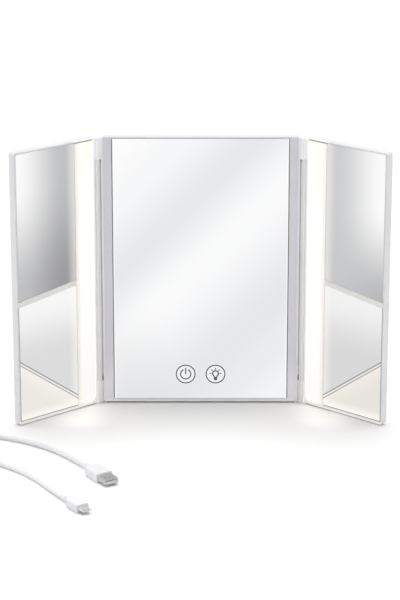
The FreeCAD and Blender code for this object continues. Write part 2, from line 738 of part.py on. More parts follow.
def bulb_symbol():
    """A light bulb outline with five short rays, inside the ring."""
    stroke = 1.1 * size("icon_line")
    bulb = size("bulb_radius")
    marks = [bulb_outline(bulb, stroke)]
    ray_start = 1.14 * bulb
    ray_end = 1.7 * bulb
    for angle in range(0, 181, RAY_STEP):
        across_x = math.cos(math.radians(angle))
        up_z = math.sin(math.radians(angle))
        start = (across_x * ray_start, up_z * ray_start)
        end = (across_x * ray_end, up_z * ray_end)
        marks.append(flat_bar(start, end, 0.75 * stroke))
    for mark in marks:
        mark.translate(FreeCAD.Vector(0, 0, size("bulb_rise")))
    return [flat_ring(size("icon_radius"), size("icon_line")), *marks]


def touch_symbols():
    y = size("centre_front") + size("lip") - size("icon_thickness")
    for side, label, marks in ((LEFT, "power_icon", power_symbol()), (RIGHT, "light_icon", bulb_symbol())):
        symbol = Part.makeCompound(marks)
        symbol.translate(FreeCAD.Vector(side * size("icon_spacing") / 2, y, size("icon_z")))
        shaped(label, symbol)


# Chips on the control board: left side, width, height above the board's edge, height and thickness.
CHIPS = (
    (-3.5, 7.0, 6.0, 7.0, 1.0),  # touch controller
    (9.0, 4.0, 8.0, 4.0, 1.4),  # charge controller
    (-14.0, 5.0, 9.0, 3.0, 1.2),  # driver of the light strips
)


def control_unit():
    """The control board behind the touch symbols, with its chips and plugs and two touch pads."""
    board = add_node("PartDesign::Body", "control_board")
    half = "control_width / 2"
    block(board, "Additive", "Board", (f"-{half}", half), ("board_front", "board_back"),
          ("control_low", "control_high"))
    parts = []
    for left, width, rise, height, thickness in CHIPS:
        parts.append(box(
            (left, left + width), ("board_back", f"board_back + {thickness}"),
            (f"control_low + {rise}", f"control_low + {rise + height}")))
    plug = ("board_back", "lane_y + wire_radius + plug_cover")
    for side, name in SIDES:
        light_plug = across(side, f"{half} - plug_inset - plug_width", f"{half} - plug_inset")
        parts.append(box(light_plug, plug, ("control_low", "control_low + plug_width")))
    parts.append(box(("-lead_spacing", "lead_spacing"), plug, ("control_high - plug_width", "control_high")))
    charging_z = "port_z - charging_plug_drop"
    parts.append(box(
        (f"{half} - plug_width", half), plug,
        (f"{charging_z} - lead_spacing", f"{charging_z} + lead_spacing")))
    group("control_chips", parts)
    group("touch_pads", [
        cylinder("pad_radius", "pad_thickness",
                 (f"{side} * icon_spacing / 2", "centre_front + cavity_start", "icon_z"), Y_AXIS)
        for side, name in SIDES
    ])


def battery():
    half = "cell_width / 2"
    low = "foot_height + cell_rise"
    high = f"{low} + cell_height"
    inner = "centre_front + cavity_start"
    tape = add_node("PartDesign::Body", "battery_tape")
    block(tape, "Additive", "Sheet", (f"-{half} + tape_inset", f"{half} - tape_inset"),
          (inner, f"{inner} + tape_thickness"), (f"{low} + tape_inset", f"{high} - tape_inset"))
    cell = add_node("PartDesign::Body", "battery")
    block(cell, "Additive", "Cell", (f"-{half}", half),
          (f"{inner} + tape_thickness", "centre_front + cavity_end - cell_gap"), (low, high))
    round_edges(cell, "SoftEdges", "cell_gap * 2", lambda edge: is_along(edge, Z_AXIS))
    group("battery_wires", [
        cylinder("lead_radius", f"{low} - control_high",
                 (f"{side} * lead_spacing / 2", "cavity_middle", "control_high"))
        for side, name in SIDES
    ])


def charging_port():
    """The USB-C socket in the centre frame's right side, its board and the wires to the control board."""
    y = ("cavity_middle - socket_thickness / 2", "cavity_middle + socket_thickness / 2")
    z = ("port_z - socket_width / 2", "port_z + socket_width / 2")
    shell = add_node("PartDesign::Body", "usb_c_socket")
    block(shell, "Additive", "Shell", ("socket_start", "socket_end"), y, z)
    round_edges(shell, "Corners", "socket_thickness / 2 - 0.1", lambda edge: is_along(edge, X_AXIS))
    inner_half = "(socket_thickness / 2 - socket_wall)"
    flat_half = "(socket_width / 2 - socket_thickness / 2)"
    flat = (f"port_z - {flat_half}", f"port_z + {flat_half}")
    before = f"socket_start - {PAST}"
    block(shell, "Subtractive", "Mouth", (before, f"socket_end + {PAST}"),
          (f"cavity_middle - {inner_half}", f"cavity_middle + {inner_half}"), flat)
    for place in flat:
        rod(shell, "Subtractive", "MouthEnd", inner_half, f"socket_length + 2 * {PAST}",
            (before, "cavity_middle", place), X_AXIS)
    tongue = add_node("PartDesign::Body", "usb_c_socket_tongue")
    half_base = f"({inner_half} - running_gap)"
    block(tongue, "Additive", "Base", ("socket_start", "socket_start + tongue_base"),
          (f"cavity_middle - {half_base}", f"cavity_middle + {half_base}"), flat)
    block(tongue, "Additive", "Tongue", ("socket_start + tongue_base / 2", "socket_end - tongue_recess"),
          ("cavity_middle - tongue_thickness / 2", "cavity_middle + tongue_thickness / 2"),
          (f"{flat[0]} - tongue_side", f"{flat[1]} + tongue_side"))
    board = add_node("PartDesign::Body", "charging_board")
    board_start = "socket_start - charging_board_length"
    block(board, "Additive", "Board", (board_start, "socket_start"),
          ("cavity_middle - board_thickness / 2", "cavity_middle + board_thickness / 2"),
          ("port_z - charging_board_width / 2", "port_z + charging_board_width / 2"))
    group("charging_wires", [
        cylinder("lead_radius", f"{board_start} - control_width / 2",
                 ("control_width / 2", "cavity_middle",
                  f"port_z - charging_plug_drop + {side} * lead_spacing / 2"), X_AXIS)
        for side, name in SIDES
    ])


def centre_light_wire(side, name):
    """From the control board along the bottom, through the knuckle and up the hollow pin."""
    axis_x, axis_y = side * size("hinge_x"), size("hinge_y")
    low, lane = size("wire_in_z"), size("lane_y")
    turn_x = axis_x - side * (lane - axis_y)
    plug_x = side * (size("control_width") / 2 - size("plug_inset") - size("plug_width") / 2)
    points = [
        FreeCAD.Vector(plug_x, lane, size("control_low")),
        FreeCAD.Vector(plug_x, lane, low),
        FreeCAD.Vector(turn_x, lane, low),
        FreeCAD.Vector(axis_x, axis_y, low),
        FreeCAD.Vector(axis_x, axis_y, size("wire_out_z") - size("wire_spare")),
    ]
    bend = size("wire_bend")
    shaped(f"{name}_light_wire", tube_along(rounded_path(points, (bend, bend, bend)), size("wire_radius")))


def centre_panel():
    centre_frame()
    centre_mirror()
    touch_symbols()
    screws = centre_screw_places()
    back_cover("centre_back_cover", RIGHT, "centre_near", "half_width", "centre_front", screws)
    back = size("panel_depth") / 2
    x = size("half_width") - size("centre_boss_inset")
    low = size("foot_height") + size("boss_inset")
    high = size("panel_top") - size("boss_inset")
    shaped("centre_cover_screws", Part.makeCompound([
        screw_shape(side * x, back, z) for side, name in SIDES for z in (low, size("middle_z"), high)
    ]))
    foot_strip("centre_foot", RIGHT, "centre_near", "half_width", "centre_front")
    control_unit()
    battery()
    charging_port()
    for side, name in SIDES:
        centre_light_wire(side, name)


# ---- hinge pins, pressed into the centre frame's knuckles ----

def hinge_pins(side, name):
    axis = (f"{side} * hinge_x", "hinge_y")
    pin = add_node("PartDesign::Body", f"{name}_hinge_pin")
    rod(pin, "Additive", "Pin", "pin_radius", "pin_length",
        (*axis, "barrel_high + knuckle_gap - pin_grip"))
    tube = add_node("PartDesign::Body", f"{name}_hinge_tube")
    length = "barrel_low + pin_grip - wire_in_z - tube_rise"
    start = (*axis, "wire_in_z + tube_rise")
    rod(tube, "Additive", "Tube", "tube_radius", length, start)
    rod(tube, "Subtractive", "Bore", "tube_bore", f"{length} + 2 * {PAST}",
        (*axis, f"wire_in_z + tube_rise - {PAST}"))


# ---- wings ----

def wing_screw_places(side):
    near = "mirror_near + wing_boss_inset"
    far = "wing_far - wing_boss_inset"
    heights = ("foot_height + boss_inset", "panel_top - boss_inset")
    return [(f"{side} * ({u})", z) for u in (near, far) for z in heights]


def wing_mirror_outline(body, side, which, front, shrink):
    """One wing mirror's outline, made smaller all round by shrink."""
    near = f"(mirror_near + {shrink})"
    far = f"(mirror_far - {shrink})"
    slope = "(divider_far - divider_near) / (mirror_far - mirror_near)"
    if which == "upper":
        up, level, half = -1, f"glass_high - {shrink}", f"+ divider_width / 2 + {shrink}"
    else:
        up, level, half = 1, f"glass_low + {shrink}", f"- divider_width / 2 - {shrink}"
    edges = []
    for u in (near, far):
        edge = f"(foot_height + divider_near + {slope} * ({u} - mirror_near) {half})"
        edges.append(f"-({up}) * (({level}) - {edge})")
    sketch = front_sketch(body, which.capitalize() + "Outline", f"{side} * {near}", front, level)
    slanted_outline(sketch, side, up, f"{far} - {near}", *edges)
    return sketch


def wing_frame(side, name):
    label = f"{name}_wing_frame"
    body = frame_block(label, side, "wing_near", "wing_far", "wing_front", side)
    for which in ("upper", "lower"):
        sketch = wing_mirror_outline(body, side, which, "wing_front", "0")
        pocket(body, which.capitalize() + "GlassSeat", sketch, "pocket_depth")
    strip = front_sketch(body, "StripOpening", f"{side} * strip_middle", "wing_front", "glass_low")
    rounded_rectangle(
        strip, "strip_width", "glass_high - glass_low", "strip_bottom_radius", "strip_top_radius")
    pocket(body, "DiffuserSeat", strip, "lip + glass_thickness")
    block(
        body, "Subtractive", "LightWindow",
        across(side, "strip_near + strip_seat", "strip_far - strip_seat"),
        ("wing_front + lip", f"wing_front + cavity_start + {PAST}"),
        ("glass_low + strip_bottom_radius", "glass_high - strip_top_radius"))
    add_bosses(body, wing_screw_places(side), "wing_front")
    rod(body, "Additive", "Barrel", "barrel_radius", "barrel_high - barrel_low", ("0", "0", "barrel_low"))
    block(body, "Additive", "BarrelNeck", across(side, "0", "wing_near + wall"),
          ("wing_front", "neck_depth"), ("barrel_low", "barrel_high"))
    rod(body, "Subtractive", "TubeBore", "tube_radius + running_gap",
        f"wire_exit + bore_spare + {PAST}", ("0", "0", f"barrel_low - {PAST}"))
    rod(body, "Subtractive", "PinBore", "pin_radius + running_gap",
        f"pin_grip + bore_spare + {PAST}", ("0", "0", "barrel_high - pin_grip - bore_spare"))
    outward = FreeCAD.Vector(side, 1, 0)
    rod(body, "Subtractive", "WireHole", "wire_hole", f"(wing_near + wall + ledge) * sqrt(2) + {PAST}",
        ("0", "0", "wire_out_z"), outward)


def wing_mirrors(side, name):
    for which in ("upper", "lower"):
        body = add_node("PartDesign::Body", f"{name}_{which}_mirror", side)
        outline = wing_mirror_outline(body, side, which, "wing_front + lip", "glass_gap")
        pad(body, "Glass", outline, "glass_thickness")
        round_edges(body, "Corners", "glass_corner", lambda edge: is_along(edge, Y_AXIS))
    behind = ("wing_front + pocket_depth - tape_thickness", "wing_front + pocket_depth")
    wide = across(side, "mirror_near + glass_gap + tape_inset", "mirror_far - glass_gap - tape_inset")
    group(f"{name}_mirror_tapes", [
        box(wide, behind, ("foot_height + divider_near + divider_width / 2 + tape_inset",
                           "glass_high - glass_gap - tape_inset")),
        box(wide, behind, ("glass_low + glass_gap + tape_inset",
                           "foot_height + divider_far - divider_width / 2 - tape_inset")),
    ], side)


def wing_light(side, name):
    """The opal diffuser in front, and the light board with its row of LEDs on the back cover."""
    diffuser = add_node("PartDesign::Body", f"{name}_light_diffuser", side)
    outline = front_sketch(
        diffuser, "Outline", f"{side} * strip_middle", "wing_front + lip", "glass_low + strip_gap")
    rounded_rectangle(
        outline, "strip_width - 2 * strip_gap", "glass_high - glass_low - 2 * strip_gap",
        "strip_bottom_radius - strip_gap", "strip_top_radius - strip_gap")
    pad(diffuser, "Opal", outline, "glass_thickness")
    board = add_node("PartDesign::Body", f"{name}_light_board", side)
    half = "light_board_width / 2"
    block(board, "Additive", "Board",
          across(side, f"strip_middle - {half}", f"strip_middle + {half}"),
          ("light_board_front", "light_board_front + board_thickness"),
          ("light_board_low", "light_board_high"))
    count = int(size("led_count"))
    leds = []
    for index in range(count):
        z = f"light_board_low + (light_board_high - light_board_low) * {index + 0.5} / {count}"
        leds.append(box(
            across(side, "strip_middle - led_width / 2", "strip_middle + led_width / 2"),
            ("light_board_front - led_height", "light_board_front"),
            (f"{z} - led_length / 2", f"{z} + led_length / 2")))
    group(f"{name}_light_leds", leds, side)


def wing_light_wire(side, name):
    """From the top of the hollow pin, through the barrel's side and onto the light board."""
    z = size("wire_out_z")
    lane = size("light_board_front") - size("wire_radius")
    end = size("strip_middle") - size("led_width")
    points = [
        FreeCAD.Vector(0, 0, z - size("wire_spare") + TOUCH),
        FreeCAD.Vector(0, 0, z),
        FreeCAD.Vector(side * lane, lane, z),
        FreeCAD.Vector(side * end, lane, z),
    ]
    bend = size("wire_bend")
    shaped(f"{name}_wing_wire", tube_along(rounded_path(points, (bend, bend)), size("wire_radius")), side)


def wing_panel(side, name):
    wing_frame(side, name)
    wing_mirrors(side, name)
    wing_light(side, name)
    wing_light_wire(side, name)
    screws = wing_screw_places(side)
    back_cover(f"{name}_back_cover", side, "wing_near", "wing_far", "wing_front", screws, side)
    back = size("wing_front") + size("panel_depth")
    near = size("mirror_near") + size("wing_boss_inset")
    far = size("wing_far") - size("wing_boss_inset")
    low = size("foot_height") + size("boss_inset")
    high = size("panel_top") - size("boss_inset")
    shaped(f"{name}_cover_screws", Part.makeCompound([
        screw_shape(side * u, back, z) for u in (near, far) for z in (low, high)
    ]), side)
    foot_strip(f"{name}_foot", side, "wing_near", "wing_far", "wing_front", side)


# ---- charging lead, lying loose on the surface in front ----

PLUG_A_PLACE = (-85.0, -184.0)  # middle of the USB-A plug
PLUG_A_TURN = -57.3  # the way it points, in degrees from +X
PLUG_C_PLACE = (-101.0, -248.0)
PLUG_C_TURN = -55.2

USB_A = {
    "shell_length": 12.0,
    "shell_width": 12.0,
    "shell_depth": 4.5,
    "metal": 0.3,
    "latch_hole": 2.2,
    "latch_back": 7.2,  # from the tip to the far side of the latch holes
    "latch_spacing": 5.0,
    "insert_depth": 1.8,
    "insert_gap": 0.05,
    "insert_recess": 0.8,
    "grip_length": 22.0,
    "grip_width": 15.5,
    "grip_depth": 8.0,
    "shoulder": 4.0,
    "softness": 1.6,
    "collar": 7.0,
}
USB_C = {
    "shell_length": 6.7,
    "shell_width": 8.3,
    "shell_depth": 2.5,
    "metal": 0.3,
    "flat_side": 0.05,
    "insert_length": 1.6,
    "grip_length": 19.0,
    "grip_width": 11.5,
    "grip_depth": 6.8,
    "shoulder": 3.0,
    "softness": 1.35,
    "collar": 6.0,
}

COIL_LAYERS = 2
ARC_SHARE = 0.45  # how much of a run the arc at one of its ends may take

# The cord's route in two stretches, on either side of the coil.
RUN_A = (
    (-96.1, -166.7, 4.0),
    (-106.9, -149.9, 3.0),
    (-131.0, -120.0, 2.25),
    (-165.0, -98.0, 2.25),
    (-195.0, -89.5, 2.4),
    (-216.0, -89.5, 2.75),
)
RUN_C = (
    (-216.0, -146.5, 7.25),
    (-195.0, -146.5, 5.2),
    (-168.0, -158.0, 2.25),
    (-139.5, -187.0, 2.25),
    (-120.9, -219.4, 2.6),
    (-110.1, -235.0, 3.4),
)


def put_plug(node, place, turn, z):
    node.Placement = FreeCAD.Placement(FreeCAD.Vector(*place, z), FreeCAD.Rotation(Z_AXIS, turn))


def centred(width):
    return -width / 2, width / 2


def plug_grip(label, front, plug):
    """A rounded moulding that points along +X, with a round collar where the cord comes in."""
    body = add_node("PartDesign::Body", label)
    back = front - plug["grip_length"]
    block(body, "Additive", "Grip", (back, front), centred(plug["grip_width"]), centred(plug["grip_depth"]))
    round_edges(body, "Shoulders", plug["shoulder"],
                lambda edge: is_along(edge, Z_AXIS) and edge.CenterOfMass.x < back + SAME)
    round_edges(body, "LongEdges", plug["softness"], lambda edge: is_along(edge, X_AXIS))
    collar_end = back - plug["collar"]
    rod(body, "Additive", "Collar", "cord_radius + collar_wall", plug["collar"] + PAST,
        (back + PAST, "0", "0"), -X_AXIS)
    round_edges(body, "CollarEnd", "collar_rounding", lambda edge: edge.BoundBox.XMax < collar_end + SAME)
    return body


def plug_front(plug):
    """Where the metal shell leaves the grip, with the plug's middle at the origin."""
    return (plug["grip_length"] + plug["collar"] - plug["shell_length"]) / 2


def usb_a_plug():
    """The plug's metal shell has the connector standard's width and thickness."""
    plug = USB_A
    front = plug_front(plug)
    tip = front + plug["shell_length"]
    metal = plug["metal"]
    half_w = plug["shell_width"] / 2
    half_t = plug["shell_depth"] / 2
    grip = plug_grip("usb_a_grip", front, plug)
    shell = add_node("PartDesign::Body", "usb_a_shell")
    block(shell, "Additive", "Shell", (front, tip), (-half_w, half_w), (-half_t, half_t))
    block(shell, "Subtractive", "Mouth", (front - PAST, tip + PAST),
          (-half_w + metal, half_w - metal), (-half_t + metal, half_t - metal))
    hole = plug["latch_hole"]
    hole_start = tip - plug["latch_back"]
    for side, name in SIDES:
        y = side * plug["latch_spacing"] / 2
        block(shell, "Subtractive", "LatchHole", (hole_start, hole_start + hole),
              (y - hole / 2, y + hole / 2), (-half_t - PAST, half_t + PAST))
    insert = add_node("PartDesign::Body", "usb_a_insert")
    side_reach = half_w - metal - plug["insert_gap"]
    low = -half_t + metal
    block(insert, "Additive", "Contacts", (front, tip - plug["insert_recess"]),
          (-side_reach, side_reach), (low, low + plug["insert_depth"]))
    for piece in (grip, shell, insert):
        put_plug(piece, PLUG_A_PLACE, PLUG_A_TURN, plug["grip_depth"] / 2)


def usb_c_plug():
    """The plug's metal shell has the connector standard's width and thickness."""
    plug = USB_C
    front = plug_front(plug)
    tip = front + plug["shell_length"]
    half_w = plug["shell_width"] / 2
    half_t = plug["shell_depth"] / 2
    grip = plug_grip("usb_c_grip", front, plug)
    shell = add_node("PartDesign::Body", "usb_c_shell")
    block(shell, "Additive", "Shell", (front, tip), (-half_w, half_w), (-half_t, half_t))
    round_edges(shell, "Corners", half_t - plug["flat_side"], lambda edge: is_along(edge, X_AXIS))
    inner = half_t - plug["metal"]
    flat = half_w - half_t
    mouth = (front - PAST, tip + PAST)
    block(shell, "Subtractive", "Mouth", mouth, (-flat, flat), (-inner, inner))
    for y in (-flat, flat):
        rod(shell, "Subtractive", "MouthEnd", inner, mouth[1] - mouth[0], (mouth[0], y, 0), X_AXIS)
    insert = add_node("PartDesign::Body", "usb_c_insert")
    block(insert, "Additive", "Contacts", (front, front + plug["insert_length"]), (-flat, flat),
          (-inner, inner))
    for piece in (grip, shell, insert):
        put_plug(piece, PLUG_C_PLACE, PLUG_C_TURN, plug["grip_depth"] / 2)


def arc_radii(points):
    """A tangent arc for each corner that takes up the same share of its shorter run."""
    radii = []
    for before, corner, after in zip(points, points[1:], points[2:]):
        back, ahead = before - corner, after - corner
        half_turn = (math.pi - back.getAngle(ahead)) / 2
        radii.append(ARC_SHARE * min(back.Length, ahead.Length) / math.tan(half_turn))
    return radii


def cable_coil():
    """The put-away turns as one ring of their outer shape, and the strap around them."""
    cord = size("cord_radius")
    strap = size("tie_thickness")
    outer = size("coil_outer") + cord
    inner = size("coil_inner") - cord
    height = COIL_LAYERS * 2 * cord
    middle = FreeCAD.Vector(size("coil_x"), size("coil_y"), strap)
    ring = Part.makeCylinder(outer, height, middle).cut(Part.makeCylinder(inner, height, middle))
    rims = [edge for edge in ring.Edges if isinstance(edge.Curve, Part.Circle)]
    coil = ring.makeFillet(0.9 * cord, rims)
    corner = FreeCAD.Vector(middle.x - outer - strap, middle.y - size("tie_width") / 2, 0)
    around = Part.makeBox(outer - inner + 2 * strap, size("tie_width"), height + 2 * strap, corner)
    shaped("cable_coil", coil)
    shaped("cable_tie", around.cut(coil))
    return coil


def charging_lead():
    usb_a_plug()
    usb_c_plug()
    coil = cable_coil()
    for label, route in (("cable_run_a", RUN_A), ("cable_run_c", RUN_C)):
        points = [FreeCAD.Vector(*point) for point in route]
        radii = arc_radii(points)
        path = rounded_path(points, radii)
        print(label, "radii", [round(radius) for radius in radii], "length", round(path.Length))
        shaped(label, tube_along(path, size("cord_radius")).cut(coil))


# ---- checks and files ----

def check_and_write():
    doc.recompute()
    for thing in doc.Objects:
        if "Invalid" in thing.State or "Error" in thing.State:
            raise RuntimeError(f"{thing.Label} failed: {thing.State}")
    os.makedirs("parts", exist_ok=True)
    for node in nodes:
        if node.Shape.isNull() or not node.Shape.isValid():
            raise RuntimeError(f"{node.Label} has no valid shape")
        node.Shape.exportStep(f"parts/{node.Label}.step")
    print(len(nodes), "sub-parts written")


centre_panel()
for wing_side, wing_name in SIDES:
    hinge_pins(wing_side, wing_name)
    wing_panel(wing_side, wing_name)
charging_lead()
check_and_write()
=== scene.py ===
import json
import math

import bmesh
import bpy
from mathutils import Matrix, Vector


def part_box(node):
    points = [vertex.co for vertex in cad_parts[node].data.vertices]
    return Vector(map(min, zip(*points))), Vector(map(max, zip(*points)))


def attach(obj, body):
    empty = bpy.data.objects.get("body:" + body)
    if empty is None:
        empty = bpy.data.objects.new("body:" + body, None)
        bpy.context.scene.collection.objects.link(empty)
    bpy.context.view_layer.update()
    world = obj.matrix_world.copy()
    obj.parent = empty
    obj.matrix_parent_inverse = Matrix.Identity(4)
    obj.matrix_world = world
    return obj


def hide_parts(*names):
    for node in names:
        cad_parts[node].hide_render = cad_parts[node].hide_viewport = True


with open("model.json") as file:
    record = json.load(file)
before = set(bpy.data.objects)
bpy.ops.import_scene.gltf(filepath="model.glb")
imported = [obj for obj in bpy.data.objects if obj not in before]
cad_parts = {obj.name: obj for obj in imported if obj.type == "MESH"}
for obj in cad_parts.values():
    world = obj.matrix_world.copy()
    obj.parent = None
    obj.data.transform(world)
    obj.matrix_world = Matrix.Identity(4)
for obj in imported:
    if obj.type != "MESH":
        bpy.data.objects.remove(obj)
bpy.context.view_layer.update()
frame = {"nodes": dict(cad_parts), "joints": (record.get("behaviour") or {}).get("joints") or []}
nodes = frame["nodes"]
scene = bpy.context.scene
scene.view_settings.view_transform = "Standard"
print("frame loaded:", len(nodes), "parts")


# camera, looking along +Y from in front and a little above

cameraSet = {
    "distance": 2.027,
    "elevation": 16.44,  # degrees
    "aimHeight": 0.1546,
    "lens": 135.0,
    "sensor": 36.0,
    "shiftY": -0.1,
    "side": -0.00055,  # how far right of the object's middle the camera stands
    "clipStart": 0.05,
    "clipEnd": 30.0,
}


def makeCamera():
    data = bpy.data.cameras.new("camera")
    data.lens = cameraSet["lens"]
    data.sensor_width = cameraSet["sensor"]
    data.shift_y = cameraSet["shiftY"]
    data.clip_start = cameraSet["clipStart"]
    data.clip_end = cameraSet["clipEnd"]
    camera = bpy.data.objects.new("camera", data)
    tilt = math.radians(cameraSet["elevation"])
    away = cameraSet["distance"]
    height = cameraSet["aimHeight"] + away * math.sin(tilt)
    camera.location = (cameraSet["side"], -away * math.cos(tilt), height)
    camera.rotation_euler = (math.pi / 2 - tilt, 0, 0)
    scene.collection.objects.link(camera)
    scene.camera = camera


makeCamera()
print("camera placed")


# charging cord: two loose runs and the put-away turns between them, all one line

cordSet = {
    "diameter": 0.0045,
    "length": 0.95,
    "runA": (
        (-0.0961, -0.1667, 0.0040),
        (-0.1069, -0.1499, 0.0030),
        (-0.1310, -0.1200, 0.00225),
        (-0.1650, -0.0980, 0.00225),
        (-0.1950, -0.0895, 0.0024),
    ),
    "runC": (
        (-0.1950, -0.1465, 0.0052),
        (-0.1680, -0.1580, 0.00225),
        (-0.1395, -0.1870, 0.00225),
        (-0.1209, -0.2194, 0.0026),
        (-0.1101, -0.2350, 0.0034),
    ),
    "coilMiddle": (-0.216, -0.118),
    "coilOuter": 0.0285,
    "coilInner": 0.0190,
    "lowTurn": 0.00275,  # height of the lower layer's middle
    "topTurn": 0.00725,
    "turnsDown": 2.0,
    "turnsRising": 0.5,
    "turnsUp": 2.0,
    "pointsPerTurn": 16,
    "stepsAround": 6,
    "stepsAlong": 8,
}


def coilPoint(turn):
    # height and radius after this many turns: in along the lower layer, up, and out along the upper one
    down = cordSet["turnsDown"]
    rising = cordSet["turnsRising"]
    outer, inner = cordSet["coilOuter"], cordSet["coilInner"]
    if turn < down:
        radius = outer + (inner - outer) * turn / down
        height = cordSet["lowTurn"]
    elif turn < down + rising:
        radius = inner
        height = cordSet["lowTurn"] + (cordSet["topTurn"] - cordSet["lowTurn"]) * (turn - down) / rising
    else:
        radius = inner + (outer - inner) * (turn - down - rising) / cordSet["turnsUp"]
        height = cordSet["topTurn"]
    angle = math.pi / 2 + 2 * math.pi * turn
    x, y = cordSet["coilMiddle"]
    return (x + radius * math.cos(angle), y + radius * math.sin(angle), height)


def makeCord():
    turns = cordSet["turnsDown"] + cordSet["turnsRising"] + cordSet["turnsUp"]
    steps = round(turns * cordSet["pointsPerTurn"])
    route = list(cordSet["runA"])
    for step in range(steps + 1):
        route.append(coilPoint(turns * step / steps))
    route.extend(cordSet["runC"])
    curve = bpy.data.curves.new("chargingCord", "CURVE")
    curve.dimensions = "3D"
    curve.bevel_depth = 1  # times each point's radius, which keeps the curve's box true
    curve.bevel_resolution = cordSet["stepsAround"]
    curve.use_fill_caps = True
    spline = curve.splines.new("NURBS")
    spline.points.add(len(route) - 1)
    for point, place in zip(spline.points, route):
        point.co = (*place, 1)
        point.radius = cordSet["diameter"] / 2
    spline.order_u = 3
    spline.use_endpoint_u = True
    spline.resolution_u = cordSet["stepsAlong"]
    cord = bpy.data.objects.new("charging_cord", curve)
    scene.collection.objects.link(cord)
    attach(cord, "charging_lead")
    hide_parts("cable_run_a", "cable_coil", "cable_run_c")
    return cord


cordPieces = ["usb_a_grip", "usb_a_shell", "usb_a_insert", "cable_tie",
              "usb_c_grip", "usb_c_shell", "usb_c_insert"]
chargingCord = makeCord()
for piece in [chargingCord] + [nodes[name] for name in cordPieces]:
    piece.visible_glossy = False  # keeps the lead and its put-away turns out of the mirrors
print("cord laid")


# what the materials share

floatKind = "NodeSocketFloat"
colourKind = "NodeSocketColor"
grainSet = {"detail": 3, "wanderScale": 22, "wanderDetail": 4}
driftSet = {"detail": 5, "low": 0.3, "high": 0.7}
mouldedSet = {
    "driftScale": 18,
    "wander": 0.06,
    "coat": 0,
    "coatRoughness": 0.12,
    "subsurface": 0,
    "subsurfaceRadius": (1, 0.9, 0.8),
    "subsurfaceScale": 0.0015,
}


def newGroup(name, inputs, outputs):
    tree = bpy.data.node_groups.new(name, "ShaderNodeTree")
    for label, kind, value in inputs:
        socket = tree.interface.new_socket(label, in_out="INPUT", socket_type=kind)
        socket.default_value = value
    for label, kind in outputs:
        tree.interface.new_socket(label, in_out="OUTPUT", socket_type=kind)
    start = tree.nodes.new("NodeGroupInput")
    end = tree.nodes.new("NodeGroupOutput")
    return tree, start, end


def addNode(tree, kind, **values):
    node = tree.nodes.new(kind)
    for name, value in values.items():
        setattr(node, name, value)
    return node


def feed(tree, socket, value):
    # links an output to the socket, and sets anything else on it
    if isinstance(value, bpy.types.NodeSocket):
        tree.links.new(value, socket)
    elif socket.type == "RGBA":
        socket.default_value = (*value, 1)
    else:
        socket.default_value = value


def useGroup(tree, group, **values):
    node = addNode(tree, "ShaderNodeGroup", node_tree=group)
    for name, value in values.items():
        feed(tree, node.inputs[name], value)
    return node.outputs


def calc(tree, operation, *values):
    node = addNode(tree, "ShaderNodeMath", operation=operation)
    for socket, value in zip(node.inputs, values):
        feed(tree, socket, value)
    return node.outputs["Value"]


def times(tree, *values):
    product = values[0]
    for value in values[1:]:
        product = calc(tree, "MULTIPLY", product, value)
    return product


def between(tree, value, low, high):
    return times(tree, calc(tree, "GREATER_THAN", value, low), calc(tree, "LESS_THAN", value, high))


def remap(tree, value, low, high, toLow=0.0, toHigh=1.0, smooth=True):
    node = addNode(tree, "ShaderNodeMapRange", interpolation_type="SMOOTHSTEP" if smooth else "LINEAR")
    for label, number in zip(("From Min", "From Max", "To Min", "To Max"), (low, high, toLow, toHigh)):
        node.inputs[label].default_value = number
    tree.links.new(value, node.inputs["Value"])
    return node.outputs["Result"]


def mixColour(tree, factor, first, second):
    node = addNode(tree, "ShaderNodeMix", data_type="RGBA")
    for label, value in (("Factor", factor), ("A", first), ("B", second)):
        feed(tree, node.inputs[label], value)
    return node.outputs["Result"]


def objectPlace(tree):
    return addNode(tree, "ShaderNodeTexCoord").outputs["Object"]


def splitPlace(tree):
    split = addNode(tree, "ShaderNodeSeparateXYZ")
    tree.links.new(objectPlace(tree), split.inputs["Vector"])
    return split.outputs


def addNoise(tree, place, scale, detail):
    noise = addNode(tree, "ShaderNodeTexNoise")
    for label, value in (("Vector", place), ("Scale", scale), ("Detail", detail)):
        feed(tree, noise.inputs[label], value)
    return noise.outputs["Fac"]


def makeGrain():
    # fine moulded or sprayed grain: a height for a bump, and a roughness that wanders over the surface
    tree, start, end = newGroup("fineGrain", (
        ("Scale", floatKind, 2500.0),
        ("Roughness", floatKind, 0.4),
        ("Wander", floatKind, 0.06),
    ), (("Height", floatKind), ("Roughness", floatKind)))
    place = objectPlace(tree)
    fine = addNoise(tree, place, start.outputs["Scale"], grainSet["detail"])
    broad = addNoise(tree, place, grainSet["wanderScale"], grainSet["wanderDetail"])
    wander = times(tree, calc(tree, "SUBTRACT", broad, 0.5), start.outputs["Wander"])
    roughness = calc(tree, "ADD", wander, start.outputs["Roughness"])
    tree.links.new(fine, end.inputs["Height"])
    tree.links.new(roughness, end.inputs["Roughness"])
    return tree


def makeDrift():
    # a base colour that drifts very slightly between two tones
    tree, start, end = newGroup("colourDrift", (
        ("Scale", floatKind, 18.0),
        ("Light", colourKind, (0.8, 0.8, 0.8, 1)),
        ("Dark", colourKind, (0.75, 0.75, 0.75, 1)),
    ), (("Color", colourKind),))
    cloud = addNoise(tree, objectPlace(tree), start.outputs["Scale"], driftSet["detail"])
    mask = remap(tree, cloud, driftSet["low"], driftSet["high"])
    colour = mixColour(tree, mask, start.outputs["Light"], start.outputs["Dark"])
    tree.links.new(colour, end.inputs["Color"])
    return tree


grainGroup = makeGrain()
driftGroup = makeDrift()


def addDrift(tree, finish):
    drift = useGroup(tree, driftGroup, Scale=finish["driftScale"], Light=finish["light"],
                     Dark=finish["dark"])
    return drift["Color"]


